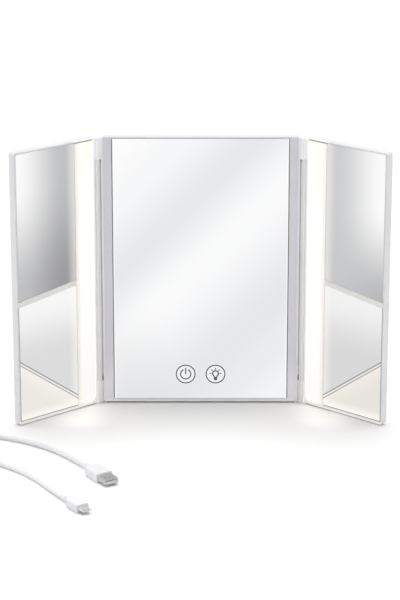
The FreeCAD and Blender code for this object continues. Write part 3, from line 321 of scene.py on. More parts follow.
def addGrain(tree, finish):
    return useGroup(tree, grainGroup, Scale=finish["grainScale"], Roughness=finish["roughness"],
                    Wander=finish["wander"])


def newMaterial(name):
    material = bpy.data.materials.new(name)
    material.use_nodes = True
    tree = material.node_tree
    return material, tree, tree.nodes["Principled BSDF"]


def addBump(tree, shader, height, depth):
    bump = addNode(tree, "ShaderNodeBump")
    bump.inputs["Distance"].default_value = depth
    tree.links.new(height, bump.inputs["Height"])
    tree.links.new(bump.outputs["Normal"], shader.inputs["Normal"])


def mouldedMaterial(name, finish):
    # plastics and rubbers: drifting tone, fine grain and a roughness that wanders
    finish = {**mouldedSet, **finish}
    material, tree, shader = newMaterial(name)
    grain = addGrain(tree, finish)
    tree.links.new(addDrift(tree, finish), shader.inputs["Base Color"])
    tree.links.new(grain["Roughness"], shader.inputs["Roughness"])
    addBump(tree, shader, grain["Height"], finish["grainDepth"])
    shader.inputs["Coat Weight"].default_value = finish["coat"]
    shader.inputs["Coat Roughness"].default_value = finish["coatRoughness"]
    shader.inputs["Subsurface Weight"].default_value = finish["subsurface"]
    shader.inputs["Subsurface Radius"].default_value = finish["subsurfaceRadius"]
    shader.inputs["Subsurface Scale"].default_value = finish["subsurfaceScale"]
    return material


def openMaterial(material):
    # a material's tree, its shader and the output that feeds its base colour
    tree = material.node_tree
    shader = tree.nodes["Principled BSDF"]
    return tree, shader, shader.inputs["Base Color"].links[0].from_socket


def coat(material, *names):
    for name in names:
        slots = nodes[name].data.materials
        slots.clear()
        slots.append(material)


# shells, covers and feet

shellFinish = {"light": (0.80, 0.80, 0.82), "dark": (0.775, 0.775, 0.80), "roughness": 0.36,
               "grainScale": 2600, "grainDepth": 0.00001, "coat": 0.12, "subsurface": 0.05}
# painted shade: the centre frame's plastic is a darker, bluer copy of the shell plastic
centreShadedFinish = {**shellFinish, "light": (0.75, 0.745, 0.80), "dark": (0.725, 0.72, 0.78)}
centreSet = {
    "side": 0.0886,  # sideways, where the gap beside a hinge barrel starts
    "gapDepth": (-0.0036, -0.0015),  # from front to back, where the painted shade in the gap gets darker
    "gapBack": 0.0020,
    "middle": 0.126,
    "gapReach": 0.1052,  # up and down from the middle
    "gapEnds": (0.097, 0.104),  # from the middle, where the painted shade in the gap darkens towards the knuckles
    "gapShadeTone": (0.66, 0.66, 0.67),
    "gapEndShadeTone": (0.19, 0.19, 0.195),
    "edge": 0.0018,  # width of the painted highlight along the frame's outer edges
    "edgeHighlightTone": (0.97, 0.97, 0.98),
    "low": (0.055, 0.004),  # painted light: the lit table lightens the frame from here down
    "lowTone": (0.92, 0.91, 0.985),
    "foot": (0.0050, 0.0035),  # top of the lower border, which gets painted light from the table
    "footLitTone": (1.0, 1.0, 1.0),
    "knuckle": 0.0208,  # height of the lower knuckles
    "knuckleTone": (0.88, 0.88, 0.88),
    "seamStart": 0.0888,  # sideways
    "seam": 0.0004,  # width of the painted shade line between a lower knuckle and the frame's side
    "seamShadeTone": (0.50, 0.50, 0.51),
}
coverFinish = {"light": (0.79, 0.79, 0.805), "dark": (0.76, 0.76, 0.78), "roughness": 0.55,
               "grainScale": 1500, "grainDepth": 0.00004, "wander": 0.08}
footFinish = {"light": (0.035, 0.035, 0.037), "dark": (0.022, 0.022, 0.024), "roughness": 0.75,
              "grainScale": 1800, "grainDepth": 0.00004}
paleFootFinish = {"light": (0.62, 0.62, 0.63), "dark": (0.55, 0.55, 0.56), "roughness": 0.7,
                  "grainScale": 1800, "grainDepth": 0.00004}


def centrePlastic():
    # painted light along the sides and the lower border, painted shade inside the gaps beside the hinge
    # barrels
    material = mouldedMaterial("centrePlastic", centreShadedFinish)
    tree, shader, tone = openMaterial(material)
    place = splitPlace(tree)
    z = place["Z"]
    sideways = calc(tree, "ABSOLUTE", place["X"])
    side = centreSet["side"]
    # painted light from the lit table, lighter towards the bottom and brightest on the lower border
    low = remap(tree, z, *centreSet["low"])
    tone = mixColour(tree, low, tone, centreSet["lowTone"])
    # painted highlight along the frame's outer edges
    edge = remap(tree, sideways, side - centreSet["edge"], side - centreSet["edge"] / 2)
    tone = mixColour(tree, edge, tone, centreSet["edgeHighlightTone"])
    foot = remap(tree, z, *centreSet["foot"])
    tone = mixColour(tree, foot, tone, centreSet["footLitTone"])
    # painted shade line between the lower knuckles and the frame's side
    below = calc(tree, "LESS_THAN", z, centreSet["knuckle"])
    seamStart = centreSet["seamStart"]
    seamEnd = seamStart + centreSet["seam"]
    for start, key in ((seamStart, "seamShadeTone"), (seamEnd, "knuckleTone")):
        outside = calc(tree, "GREATER_THAN", sideways, start)
        tone = mixColour(tree, times(tree, below, outside), tone, centreSet[key])
    # painted shade inside the gaps beside the hinge barrels, darkest towards the knuckles
    fromMiddle = calc(tree, "ABSOLUTE", calc(tree, "SUBTRACT", z, centreSet["middle"]))
    gapShadeTone = mixColour(tree, remap(tree, fromMiddle, *centreSet["gapEnds"]), centreSet["gapShadeTone"],
                        centreSet["gapEndShadeTone"])
    beside = calc(tree, "GREATER_THAN", sideways, side)
    inside = calc(tree, "LESS_THAN", place["Y"], centreSet["gapBack"])
    deep = remap(tree, place["Y"], *centreSet["gapDepth"])
    reached = calc(tree, "LESS_THAN", fromMiddle, centreSet["gapReach"])
    gap = times(tree, beside, inside, deep, reached)
    tree.links.new(mixColour(tree, gap, tone, gapShadeTone), shader.inputs["Base Color"])
    return material


coat(centrePlastic(), "centre_frame")
coat(mouldedMaterial("coverPlastic", coverFinish), "centre_back_cover", "left_back_cover",
     "right_back_cover")
coat(mouldedMaterial("footRubber", footFinish), "centre_foot")
coat(mouldedMaterial("paleRubber", paleFootFinish), "left_foot", "right_foot")
print("centre frame, covers and feet finished")


# places on a wing: along it from its hinge, back from its front, and up

hinge = next(joint for joint in frame["joints"] if joint["name"] == "right_wing_hinge")
hingeX, hingeY = hinge["pos_m"][:2]
restAngle = math.radians(-hinge["range_deg"][0])  # how far forward of flat the wings stand at rest


def makeWingPlace():
    tree, start, end = newGroup("wingPlace", (), (
        ("Along", floatKind), ("Depth", floatKind), ("Height", floatKind)))
    place = splitPlace(tree)
    outward = calc(tree, "SUBTRACT", calc(tree, "ABSOLUTE", place["X"]), hingeX)
    forward = calc(tree, "SUBTRACT", hingeY, place["Y"])
    cosine, sine = math.cos(restAngle), math.sin(restAngle)
    along = calc(tree, "ADD", times(tree, outward, cosine), times(tree, forward, sine))
    depth = calc(tree, "SUBTRACT", times(tree, outward, sine), times(tree, forward, cosine))
    for label, value in (("Along", along), ("Depth", depth), ("Height", place["Z"])):
        tree.links.new(value, end.inputs[label])
    return tree


wingPlaceGroup = makeWingPlace()


# silvered glass: a painted sheen that stands in for reflections over the sheet, and a thin line of painted
# shade along its edges, where the gap beside the frame lies

mirrorSet = {
    "roughness": 0.012,
    "wander": 0.02,
    "grainScale": 900,
    "tint": (-0.02, -0.008, 0.03),  # what a wing mirror's darker tones gain in red, green and blue
    "edgeShadeColour": (0.24, 0.24, 0.25),
    "edgeShadeLine": 0.0007,
    "edgeHighlight": 0.0016,
    "near": 0.0256,  # wing mirrors, from the hinge
    "far": 0.0898,
    "low": 0.0041,
    "sideShadeLine": 0.0006,  # painted shade: thin dark line along the wing mirrors' outer side and foot
    "upperShadeLine": (0.50, 0.50, 0.51),
    "lowerShadeLine": (0.20, 0.195, 0.19),
    "stripGlow": 0.011,
    "stripLight": 0.42,
    "warm": (1.0, 0.97, 0.93),
}
centreSheen = {
    "tint": (-0.05, 0, 0.16),
    "ramp": (-0.06, 0.32),  # height minus sideways place, where the ramp starts and ends
    "stops": ((0.0, 0.905), (0.12, 0.838), (0.23, 0.802), (0.51, 0.958), (0.68, 0.812), (0.86, 0.928),
              (1.0, 0.978)),
    "dimHeight": (0.105, 0.035),  # the painted sheen is dimmer towards the lower left corner
    "dimSide": (-0.010, -0.075),
    "dim": 0.10,
    "symbols": ("power_icon", "light_icon"),
    "symbolHalo": (0.0102, 0.0094),  # painted light: the glass is a touch lighter inside this distance of a symbol
    "haloLight": 0.35,
}
# painted reflection: levels of grey at the inner and the outer side, first below and then above the rise
upperSheen = {
    "left_upper_mirror": {"levels": (0.335, 0.53, 0.535, 0.96), "rise": (0.122, 0.225)},
    "right_upper_mirror": {"levels": (0.575, 0.49, 0.62, 0.965), "rise": (0.115, 0.205)},
}
# painted reflection: the lower wing mirrors show the lit table below a slanted line, and a pale room above
# it
lowerSheen = {
    "left_lower_mirror": {"room": 0.716, "roomHigh": 0.925, "table": (0.905, 0.875, 0.825)},
    "right_lower_mirror": {"room": 0.69, "roomHigh": 0.885, "table": (0.865, 0.837, 0.782)},
}
lowerSet = {
    "rise": (0.058, 0.112),
    "line": (0.0140, 0.0602),  # height of the line beside the light strip and at the outer side
    "lineTurn": 0.0014,  # how far below the line the table starts
    "tableDim": 0.025,
    "tableDark": 0.93,
    "footLight": (0.965, 0.94, 0.89),
    "footRise": 0.010,
    "lineBand": (-0.0040, 0.0007),  # the painted reflected double line, from its lower to its upper edge
    "lineStops": ((0.0, 0.0), (0.08, 0.72), (0.26, 0.72), (0.38, 0.0), (0.69, 0.0), (0.78, 1.0),
                  (0.91, 1.0), (1.0, 0.0)),
    "lineColour": (0.28, 0.265, 0.255),
}


def tinted(level, tint):
    # a grey of this level, tinted the more the darker it is
    return tuple(level * (1 + part * (1 - level)) for part in tint)


def makeRamp(tree, value, stops, interpolation):
    ramp = addNode(tree, "ShaderNodeValToRGB")
    ramp.color_ramp.interpolation = interpolation
    elements = ramp.color_ramp.elements
    while len(elements) < len(stops):
        elements.new(0.5)
    for element, (position, colour) in zip(elements, stops):
        element.position = position
        element.color = (*colour, 1)
    tree.links.new(value, ramp.inputs["Fac"])
    return ramp.outputs["Color"]


def finishMirror(tree, shader, colour):
    tree.links.new(colour, shader.inputs["Base Color"])
    tree.links.new(addGrain(tree, mirrorSet)["Roughness"], shader.inputs["Roughness"])
    shader.inputs["Metallic"].default_value = 1


def symbolDistance(tree, x, z, name):
    low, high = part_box(name)
    across = calc(tree, "SUBTRACT", x, (low[0] + high[0]) / 2)
    up = calc(tree, "SUBTRACT", z, (low[2] + high[2]) / 2)
    return calc(tree, "SQRT", calc(tree, "ADD", times(tree, across, across), times(tree, up, up)))


def centreGlass():
    material, tree, shader = newMaterial("centreGlass")
    place = splitPlace(tree)
    x, z = place["X"], place["Z"]
    # painted reflection: soft diagonal bands of lighter and darker grey
    slant = remap(tree, calc(tree, "SUBTRACT", z, x), *centreSheen["ramp"], smooth=False)
    stops = [(position, tinted(level, centreSheen["tint"])) for position, level in centreSheen["stops"]]
    tone = makeRamp(tree, slant, stops, "EASE")
    dimHeight = remap(tree, z, *centreSheen["dimHeight"], 0.0, centreSheen["dim"])
    dim = times(tree, dimHeight, remap(tree, x, *centreSheen["dimSide"]))
    tone = mixColour(tree, dim, tone, (0, 0, 0))
    # painted light: the glass is lighter around the symbols
    distances = [symbolDistance(tree, x, z, name) for name in centreSheen["symbols"]]
    toSymbol = calc(tree, "MINIMUM", *distances)
    halo = remap(tree, toSymbol, *centreSheen["symbolHalo"], 0.0, centreSheen["haloLight"])
    tone = mixColour(tree, halo, tone, (1, 1, 1))
    # a painted shade line and a painted highlight along both upright edges, and a grey painted shade line
    # along the foot
    low = remap(tree, z, mirrorSet["low"] + mirrorSet["edgeShadeLine"], mirrorSet["low"])
    tone = mixColour(tree, low, tone, mirrorSet["upperShadeLine"])
    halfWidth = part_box("centre_mirror")[1][0]
    sideways = calc(tree, "SUBTRACT", halfWidth, calc(tree, "ABSOLUTE", x))
    bright = calc(tree, "LESS_THAN", sideways, mirrorSet["edgeHighlight"])
    tone = mixColour(tree, bright, tone, (1, 1, 1))
    dark = calc(tree, "LESS_THAN", sideways, mirrorSet["edgeShadeLine"])
    finishMirror(tree, shader, mixColour(tree, dark, tone, mirrorSet["edgeShadeColour"]))
    return material


def makeStripShine():
    # painted light: a wing mirror is lighter and warmer where it starts beside the light strip
    near = mirrorSet["near"]
    tree, start, end = newGroup("stripShine", (
        ("Along", floatKind, near),
        ("Tone", colourKind, (0.5, 0.5, 0.5, 1)),
    ), (("Color", colourKind),))
    glowEnd = near + mirrorSet["stripGlow"]
    lit = remap(tree, start.outputs["Along"], glowEnd, near, 0.0, mirrorSet["stripLight"])
    tree.links.new(mixColour(tree, lit, start.outputs["Tone"], mirrorSet["warm"]), end.inputs["Color"])
    return tree


def makeSideShadeLine():
    # a thin painted shade line down the outer side of a wing mirror
    far = mirrorSet["far"]
    tree, start, end = newGroup("sideShadeLine", (
        ("Along", floatKind, far),
        ("Tone", colourKind, (0.5, 0.5, 0.5, 1)),
        ("Line", colourKind, (0.2, 0.2, 0.2, 1)),
    ), (("Color", colourKind),))
    side = remap(tree, start.outputs["Along"], far - mirrorSet["sideShadeLine"], far)
    tree.links.new(mixColour(tree, side, start.outputs["Tone"], start.outputs["Line"]), end.inputs["Color"])
    return tree


stripShineGroup = makeStripShine()
sideShadeLineGroup = makeSideShadeLine()


def upperGlass(name, tones):
    material, tree, shader = newMaterial(name.replace("_", "") + "Glass")
    place = useGroup(tree, wingPlaceGroup)
    along, z = place["Along"], place["Height"]
    # painted reflection: grey tones that change across and up the mirror
    outer = remap(tree, along, mirrorSet["near"] + mirrorSet["stripGlow"], mirrorSet["far"])
    rise = remap(tree, z, *tones["rise"])
    tint = mirrorSet["tint"]
    innerLow, outerLow, innerHigh, outerHigh = [tinted(level, tint) for level in tones["levels"]]
    lowTone = mixColour(tree, outer, innerLow, outerLow)
    highTone = mixColour(tree, outer, innerHigh, outerHigh)
    tone = mixColour(tree, rise, lowTone, highTone)
    tone = useGroup(tree, stripShineGroup, Along=along, Tone=tone)["Color"]
    tone = useGroup(tree, sideShadeLineGroup, Along=along, Tone=tone, Line=mirrorSet["upperShadeLine"])["Color"]
    finishMirror(tree, shader, tone)
    return material


def lowerGlass(name, tones):
    material, tree, shader = newMaterial(name.replace("_", "") + "Glass")
    place = useGroup(tree, wingPlaceGroup)
    along, z = place["Along"], place["Height"]
    # painted reflection of a pale room and the lit table
    rise = remap(tree, z, *lowerSet["rise"])
    room = mixColour(tree, rise, (tones["room"],) * 3, (tones["roomHigh"],) * 3)
    line = remap(tree, along, mirrorSet["near"], mirrorSet["far"], *lowerSet["line"], smooth=False)
    over = calc(tree, "SUBTRACT", z, line)
    dim = tuple(part * lowerSet["tableDark"] for part in tones["table"])
    table = mixColour(tree, remap(tree, over, -lowerSet["tableDim"], 0.0), dim, tones["table"])
    # painted reflection of the table, lighter and warmer near the foot
    foot = remap(tree, z, mirrorSet["low"] + lowerSet["footRise"], mirrorSet["low"])
    table = mixColour(tree, foot, table, lowerSet["footLight"])
    isRoom = calc(tree, "GREATER_THAN", over, -lowerSet["lineTurn"])
    tone = mixColour(tree, isRoom, table, room)
    tone = useGroup(tree, stripShineGroup, Along=along, Tone=tone)["Color"]
    # the painted reflected double line between table and room, and thin painted shade lines at the outer
    # side and the foot
    stops = [(position, (level,) * 3) for position, level in lowerSet["lineStops"]]
    share = remap(tree, over, *lowerSet["lineBand"], smooth=False)
    tone = mixColour(tree, makeRamp(tree, share, stops, "LINEAR"), tone, lowerSet["lineColour"])
    tone = useGroup(tree, sideShadeLineGroup, Along=along, Tone=tone, Line=mirrorSet["lowerShadeLine"])["Color"]
    low = remap(tree, z, mirrorSet["low"] + mirrorSet["sideShadeLine"], mirrorSet["low"])
    finishMirror(tree, shader, mixColour(tree, low, tone, mirrorSet["lowerShadeLine"]))
    return material


coat(centreGlass(), "centre_mirror")
for mirrorName, mirrorTones in upperSheen.items():
    coat(upperGlass(mirrorName, mirrorTones), mirrorName)
for mirrorName, mirrorTones in lowerSheen.items():
    coat(lowerGlass(mirrorName, mirrorTones), mirrorName)
print("mirrors finished")


# lit light strips, dimmer and creamier along their rims, and their glow painted into the wing plastic
# around them

lightSet = {
    "near": 0.0050,
    "far": 0.0234,
    "low": 0.0037,
    "high": 0.2495,
    "rim": 0.0010,
    "mirrorRim": 0.0026,
    "rimTone": (0.68, 0.63, 0.53),
    "topShadeLine": 0.0015,  # painted shade: a grey line along the strip's upper end
    "topShadeTone": (0.12, 0.115, 0.11),
    "glowReach": 0.0040,  # how far the painted glow spreads from the strip, along the front and inwards
    "glowDepth": 0.0035,
    "glow": 0.30,
    "rib": 0.0254,  # where the rib between strip and mirrors ends
    "ribReach": (0.0010, 0.0004),
    "ribGlow": 0.55,
    "topEdge": (0.2484, 0.2489, 0.2499),  # painted shade: a grey line above the strip, from its lower edge up
    "topEdgeShadeTone": (0.42, 0.41, 0.40),
    "divider": (0.110, 0.127),  # heights between which the divider lies
    # painted glow and a warmer painted tone on the divider, from the strip's light
    "dividerGlow": 0.16,
    "dividerTone": (0.80, 0.79, 0.765),
    "border": (0.0046, 0.0036),  # height of the lower border, which gets painted light from the table
    "borderDepth": 0.0008,  # back from the wing's front
    "borderGlow": 0.75,
    "warm": (1.0, 0.93, 0.82),
    "white": (1.0, 1.0, 1.0),
    "cream": (0.97, 0.965, 0.86),
    "creamLow": 0.17,  # height from which the strip gets creamier
    "seen": 0.54,  # how bright the strip looks
    "strength": 1.6,  # how much light it gives to what is around it
    "ledBoard": 0.232,
    "leds": 24,
    "ledRipple": 0.02,
}
opalFinish = {"light": (0.6, 0.59, 0.56), "dark": (0.57, 0.56, 0.53), "driftScale": 25,
              "roughness": 0.42, "wander": 0.05, "grainScale": 2000}


def makeOpening():
    # how far inside the light strip's opening a place on a wing is, below zero outside it
    tree, start, end = newGroup("stripOpening", (("Along", floatKind, 0.0), ("Height", floatKind, 0.0)),
                                (("Inside", floatKind),))
    along, z = start.outputs["Along"], start.outputs["Height"]
    sides = calc(tree, "MINIMUM", calc(tree, "SUBTRACT", along, lightSet["near"]),
                 calc(tree, "SUBTRACT", lightSet["far"], along))
    ends = calc(tree, "MINIMUM", calc(tree, "SUBTRACT", z, lightSet["low"]),
                calc(tree, "SUBTRACT", lightSet["high"], z))
    tree.links.new(calc(tree, "MINIMUM", sides, ends), end.inputs["Inside"])
    return tree


openingGroup = makeOpening()


def opalLight():
    material, tree, shader = newMaterial("opalLight")
    place = useGroup(tree, wingPlaceGroup)
    along, z = place["Along"], place["Height"]
    inside = useGroup(tree, openingGroup, Along=along, Height=z)["Inside"]
    turn = times(tree, z, 2 * math.pi * lightSet["leds"] / lightSet["ledBoard"])
    ripple = times(tree, calc(tree, "SINE", turn), lightSet["ledRipple"])
    top = remap(tree, z, lightSet["creamLow"], lightSet["high"])
    glow = mixColour(tree, calc(tree, "ADD", top, ripple), lightSet["white"], lightSet["cream"])
    rim = remap(tree, inside, lightSet["rim"], 0.0)
    mirrorRim = remap(tree, calc(tree, "SUBTRACT", lightSet["far"], along), lightSet["mirrorRim"], 0.0)
    glow = mixColour(tree, calc(tree, "MAXIMUM", rim, mirrorRim), glow, lightSet["rimTone"])
    # painted shade: a grey line along the strip's upper end, in its light and in its base colour
    topShadeLine = remap(tree, z, lightSet["high"] - lightSet["topShadeLine"], lightSet["high"])
    glow = mixColour(tree, topShadeLine, glow, lightSet["topShadeTone"])
    # the strip looks evenly lit, and lights what is around it with a warmer, stronger light
    path = addNode(tree, "ShaderNodeLightPath")
    seen = calc(tree, "MAXIMUM", path.outputs["Is Camera Ray"], path.outputs["Is Glossy Ray"])
    tree.links.new(mixColour(tree, seen, lightSet["warm"], glow), shader.inputs["Emission Color"])
    strength = remap(tree, seen, 0.0, 1.0, lightSet["strength"], lightSet["seen"], smooth=False)
    tree.links.new(strength, shader.inputs["Emission Strength"])
    opal = mixColour(tree, topShadeLine, addDrift(tree, opalFinish), lightSet["topShadeTone"])
    tree.links.new(opal, shader.inputs["Base Color"])
    tree.links.new(addGrain(tree, opalFinish)["Roughness"], shader.inputs["Roughness"])
    return material


def wingPlastic():
    material = mouldedMaterial("wingPlastic", shellFinish)
    tree, shader, tone = openMaterial(material)
    place = useGroup(tree, wingPlaceGroup)
    along, depth, z = place["Along"], place["Depth"], place["Height"]
    # painted glow in the plastic around the strip, on the lower border, at the rib and faintly on the
    # divider
    inside = useGroup(tree, openingGroup, Along=along, Height=z)["Inside"]
    shallow = remap(tree, depth, lightSet["glowDepth"], 0.0)
    around = times(tree, remap(tree, inside, -lightSet["glowReach"], 0.0), shallow)
    border = remap(tree, z, *lightSet["border"], 0.0, lightSet["borderGlow"])
    border = times(tree, border, calc(tree, "LESS_THAN", depth, lightSet["borderDepth"]))
    fromRib = calc(tree, "ABSOLUTE", calc(tree, "SUBTRACT", along, lightSet["rib"]))
    rib = times(tree, remap(tree, fromRib, *lightSet["ribReach"], 0.0, lightSet["ribGlow"]), shallow)
    divider = times(tree, between(tree, z, *lightSet["divider"]),
                    between(tree, along, lightSet["rib"], mirrorSet["far"]))
    amount = around
    for other in (border, rib, times(tree, divider, lightSet["dividerGlow"])):
        amount = calc(tree, "MAXIMUM", amount, other)
    # painted light: the divider is tinted warm
    tone = mixColour(tree, divider, tone, lightSet["dividerTone"])
    # painted shade: a grey line above the strip, which gets no painted glow
    edgeLow, edgeFull, edgeHigh = lightSet["topEdge"]
    topEdge = times(tree, remap(tree, z, edgeLow, edgeFull), calc(tree, "LESS_THAN", z, edgeHigh),
                    between(tree, along, lightSet["near"], lightSet["rib"]))
    tone = mixColour(tree, topEdge, tone, lightSet["topEdgeShadeTone"])
    tree.links.new(tone, shader.inputs["Base Color"])
    amount = times(tree, amount, calc(tree, "SUBTRACT", 1.0, topEdge))
    tree.links.new(mixColour(tree, amount, (0, 0, 0), lightSet["warm"]), shader.inputs["Emission Color"])
    shader.inputs["Emission Strength"].default_value = lightSet["glow"]
    return material


coat(opalLight(), "left_light_diffuser", "right_light_diffuser")
coat(wingPlastic(), "left_wing_frame", "right_wing_frame")
print("light strips and wing frames finished")


# printed touch symbols

inkFinish = {"light": (0.10, 0.10, 0.11), "dark": (0.08, 0.08, 0.09), "roughness": 0.5,
             "grainScale": 3000, "grainDepth": 0.00001}
coat(mouldedMaterial("symbolInk", inkFinish), "power_icon", "light_icon")


# metals

metalSet = {"driftScale": 60, "lineScale": 400, "lineDetail": 3, "lineDepth": 0.000004,
            "smoother": 0.06, "rougher": 0.08}


def metalMaterial(name, finish):
    # drawn or plated metal: fine lines along one direction break up the highlight
    finish = {**metalSet, **finish}
    material, tree, shader = newMaterial(name)
    stretch = addNode(tree, "ShaderNodeMapping")
    stretch.inputs["Scale"].default_value = finish["lines"]
    tree.links.new(objectPlace(tree), stretch.inputs["Vector"])
    lines = addNoise(tree, stretch.outputs["Vector"], finish["lineScale"], finish["lineDetail"])
    low = finish["roughness"] - finish["smoother"]
    high = finish["roughness"] + finish["rougher"]
    tree.links.new(remap(tree, lines, 0.0, 1.0, low, high, smooth=False), shader.inputs["Roughness"])
    tree.links.new(addDrift(tree, finish), shader.inputs["Base Color"])
    addBump(tree, shader, lines, finish["lineDepth"])
    shader.inputs["Metallic"].default_value = 1
    return material


nickelFinish = {"light": (0.58, 0.565, 0.545), "dark": (0.51, 0.495, 0.48), "roughness": 0.24,
                "lines": (1, 1, 6)}
hingeFinish = {"light": (0.58, 0.59, 0.61), "dark": (0.5, 0.51, 0.53), "roughness": 0.3,
               "lines": (6, 6, 0.5)}
pinSet = {"bareBelow": 0.2502, "paint": (0.95, 0.95, 0.96)}
screwFinish = {"light": (0.42, 0.43, 0.45), "dark": (0.35, 0.36, 0.38), "roughness": 0.33,
               "lines": (3, 1, 3)}
foilFinish = {"light": (0.66, 0.67, 0.69), "dark": (0.58, 0.59, 0.61), "roughness": 0.38,
              "lines": (1, 4, 1)}
copperFinish = {"light": (0.75, 0.43, 0.26), "dark": (0.66, 0.36, 0.21), "roughness": 0.35,
                "lines": (2, 2, 2)}


def pinSteel():
    # the pins' upper ends are painted with the frame
    material = metalMaterial("pinSteel", hingeFinish)
    tree, shader, steel = openMaterial(material)
    bare = calc(tree, "LESS_THAN", splitPlace(tree)["Z"], pinSet["bareBelow"])
    tree.links.new(mixColour(tree, bare, pinSet["paint"], steel), shader.inputs["Base Color"])
    tree.links.new(bare, shader.inputs["Metallic"])
    return material


coat(metalMaterial("nickelPlate", nickelFinish), "usb_a_shell", "usb_c_shell", "usb_c_socket")
coat(pinSteel(), "left_hinge_pin", "right_hinge_pin")
coat(metalMaterial("groundSteel", hingeFinish), "left_hinge_tube", "right_hinge_tube")
coat(metalMaterial("zincSteel", screwFinish), "centre_cover_screws", "left_cover_screws",
     "right_cover_screws")
coat(metalMaterial("cellFoil", foilFinish), "battery")
coat(metalMaterial("barePads", copperFinish), "touch_pads")


# charging lead: jacket, grips, contact blocks and the strap round the turns

jacketFinish = {"light": (0.88, 0.88, 0.90), "dark": (0.85, 0.85, 0.875), "roughness": 0.42,
                "grainScale": 1600, "grainDepth": 0.00002, "subsurface": 0.08}
gripFinish = {"light": (0.81, 0.81, 0.83), "dark": (0.79, 0.79, 0.815), "roughness": 0.3,
              "grainScale": 2600, "grainDepth": 0.000008, "coat": 0.1, "subsurface": 0.05}
paleContactFinish = {"light": (0.82, 0.82, 0.83), "dark": (0.78, 0.78, 0.79), "roughness": 0.4,
                     "grainScale": 2600, "grainDepth": 0.00001}
darkContactFinish = {"light": (0.03, 0.03, 0.032), "dark": (0.02, 0.02, 0.022), "roughness": 0.4,
                     "grainScale": 2600, "grainDepth": 0.00001}
strapFinish = {"light": (0.72, 0.72, 0.74), "dark": (0.6, 0.6, 0.62), "roughness": 0.8,
               "grainScale": 700, "grainDepth": 0.00015, "driftScale": 400}

jacket = mouldedMaterial("cordJacket", jacketFinish)
chargingCord.data.materials.append(jacket)
coat(jacket, "cable_run_a", "cable_coil", "cable_run_c")
coat(mouldedMaterial("gripPlastic", gripFinish), "usb_a_grip", "usb_c_grip")
coat(mouldedMaterial("paleContactPlastic", paleContactFinish), "usb_a_insert")
coat(mouldedMaterial("darkContactPlastic", darkContactFinish), "usb_c_insert", "usb_c_socket_tongue")
coat(mouldedMaterial("strapWeave", strapFinish), "cable_tie")


# boards, wires and tapes inside the panels

boardFinish = {"light": (0.02, 0.17, 0.07), "dark": (0.012, 0.12, 0.05), "roughness": 0.35,
               "grainScale": 1200, "grainDepth": 0.00001, "driftScale": 160, "coat": 0.3}
whiteBoardFinish = {"light": (0.84, 0.84, 0.82), "dark": (0.78, 0.78, 0.76), "roughness": 0.4,
                    "grainScale": 1200, "grainDepth": 0.00001, "driftScale": 120}
chipFinish = {"light": (0.03, 0.03, 0.032), "dark": (0.02, 0.02, 0.021), "roughness": 0.55,
              "grainScale": 2200, "grainDepth": 0.00002}
ledFinish = {"light": (0.92, 0.78, 0.30), "dark": (0.85, 0.68, 0.22), "roughness": 0.45,
             "grainScale": 2500, "grainDepth": 0.00001, "driftScale": 300}
tapeFinish = {"light": (0.09, 0.09, 0.095), "dark": (0.06, 0.06, 0.065), "roughness": 0.85,
              "grainScale": 600, "grainDepth": 0.00005}
wireFinish = {"light": (0.45, 0.03, 0.02), "dark": (0.36, 0.02, 0.015), "roughness": 0.4,
              "grainScale": 2200, "grainDepth": 0.00001}

coat(mouldedMaterial("boardMask", boardFinish), "control_board", "charging_board")
coat(mouldedMaterial("whiteMask", whiteBoardFinish), "left_light_board", "right_light_board")
coat(mouldedMaterial("chipResin", chipFinish), "control_chips")
coat(mouldedMaterial("ledPhosphor", ledFinish), "left_light_leds", "right_light_leds")
coat(mouldedMaterial("foamTape", tapeFinish), "centre_mirror_tape", "left_mirror_tapes",
     "right_mirror_tapes", "battery_tape")
coat(mouldedMaterial("wireSleeve", wireFinish), "battery_wires", "charging_wires", "left_light_wire",
     "right_light_wire", "left_wing_wire", "right_wing_wire")
print("materials made:", len(bpy.data.materials))


# floor and light

floorSet = {
    "size": 14.0,
    "light": (0.955, 0.955, 0.955),
    "dark": (0.945, 0.945, 0.945),
    "driftScale": 3,
    "roughness": 0.9,
    "shine": 0.1,
}
stageSet = {
    "sky": 0.39,
    "skySeen": 1.0,
    "skyBounce": 0.92,  # how much of that the mirrors throw back onto the table
    "suns": (
        ("topSun", 1.78, 44, (-13, 0, 0)),  # energy, softness and turn in degrees
        ("leftSun", 0.8, 50, (0, -66, 0)),
        ("rightSun", 0.70, 50, (0, 66, 0)),
    ),
    "spills": (("leftSpill", -1, 0.030), ("rightSpill", 1, 0.026)),  # side and power
    "spillColour": (1.0, 0.95, 0.86),
    "spillCone": 68.0,
    "spillBlend": 1.0,
    "spillSize": 0.01,
    "spillPlace": (0.110, -0.046, 0.052),
}


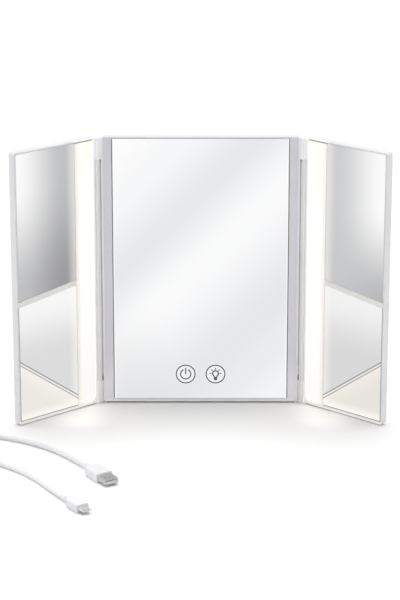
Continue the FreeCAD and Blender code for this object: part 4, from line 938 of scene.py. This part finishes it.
def makeFloor():
    mesh = bpy.data.meshes.new("floor")
    shape = bmesh.new()
    bmesh.ops.create_grid(shape, x_segments=1, y_segments=1, size=floorSet["size"] / 2)
    shape.to_mesh(mesh)
    shape.free()
    floor = bpy.data.objects.new("floor", mesh)
    scene.collection.objects.link(floor)
    material, tree, shader = newMaterial("floorPaper")
    tree.links.new(addDrift(tree, floorSet), shader.inputs["Base Color"])
    shader.inputs["Roughness"].default_value = floorSet["roughness"]
    shader.inputs["Specular IOR Level"].default_value = floorSet["shine"]
    # the mirrors see an even white table
    even = addNode(tree, "ShaderNodeEmission")
    blend = addNode(tree, "ShaderNodeMixShader")
    path = addNode(tree, "ShaderNodeLightPath")
    end = tree.nodes["Material Output"]
    direct = calc(tree, "LESS_THAN", path.outputs["Diffuse Depth"], 0.5)
    tree.links.new(times(tree, path.outputs["Is Glossy Ray"], direct), blend.inputs["Fac"])
    tree.links.new(shader.outputs["BSDF"], blend.inputs[1])
    tree.links.new(even.outputs["Emission"], blend.inputs[2])
    tree.links.new(blend.outputs["Shader"], end.inputs["Surface"])
    mesh.materials.append(material)


def makeWorld():
    # the room looks white, but its light on the object is weaker, so that the suns shape it
    world = bpy.data.worlds.new("studio")
    scene.world = world
    world.use_nodes = True
    tree = world.node_tree
    back = tree.nodes["Background"]
    back.inputs["Color"].default_value = (1, 1, 1, 1)
    path = addNode(tree, "ShaderNodeLightPath")
    seen = calc(tree, "MAXIMUM", path.outputs["Is Camera Ray"], path.outputs["Is Glossy Ray"])
    bounce = remap(tree, path.outputs["Diffuse Depth"], 0.0, 1.0, 1.0, stageSet["skyBounce"], smooth=False)
    seen = times(tree, seen, bounce)
    level = remap(tree, seen, 0.0, 1.0, stageSet["sky"], stageSet["skySeen"], smooth=False)
    tree.links.new(level, back.inputs["Strength"])


def makeSuns():
    for name, energy, softness, turn in stageSet["suns"]:
        data = bpy.data.lights.new(name, "SUN")
        data.energy = energy
        data.angle = math.radians(softness)
        sun = bpy.data.objects.new(name, data)
        sun.rotation_euler = [math.radians(angle) for angle in turn]
        scene.collection.objects.link(sun)


def makeSpills():
    x, y, z = stageSet["spillPlace"]
    for name, side, power in stageSet["spills"]:
        data = bpy.data.lights.new(name, "SPOT")
        data.energy = power
        data.color = stageSet["spillColour"]
        data.spot_size = math.radians(stageSet["spillCone"])
        data.spot_blend = stageSet["spillBlend"]
        data.shadow_soft_size = stageSet["spillSize"]
        spot = bpy.data.objects.new(name, data)
        spot.location = (side * x, y, z)
        spot.visible_glossy = False
        scene.collection.objects.link(spot)


makeFloor()
makeWorld()
makeSuns()
makeSpills()
print("stage set")
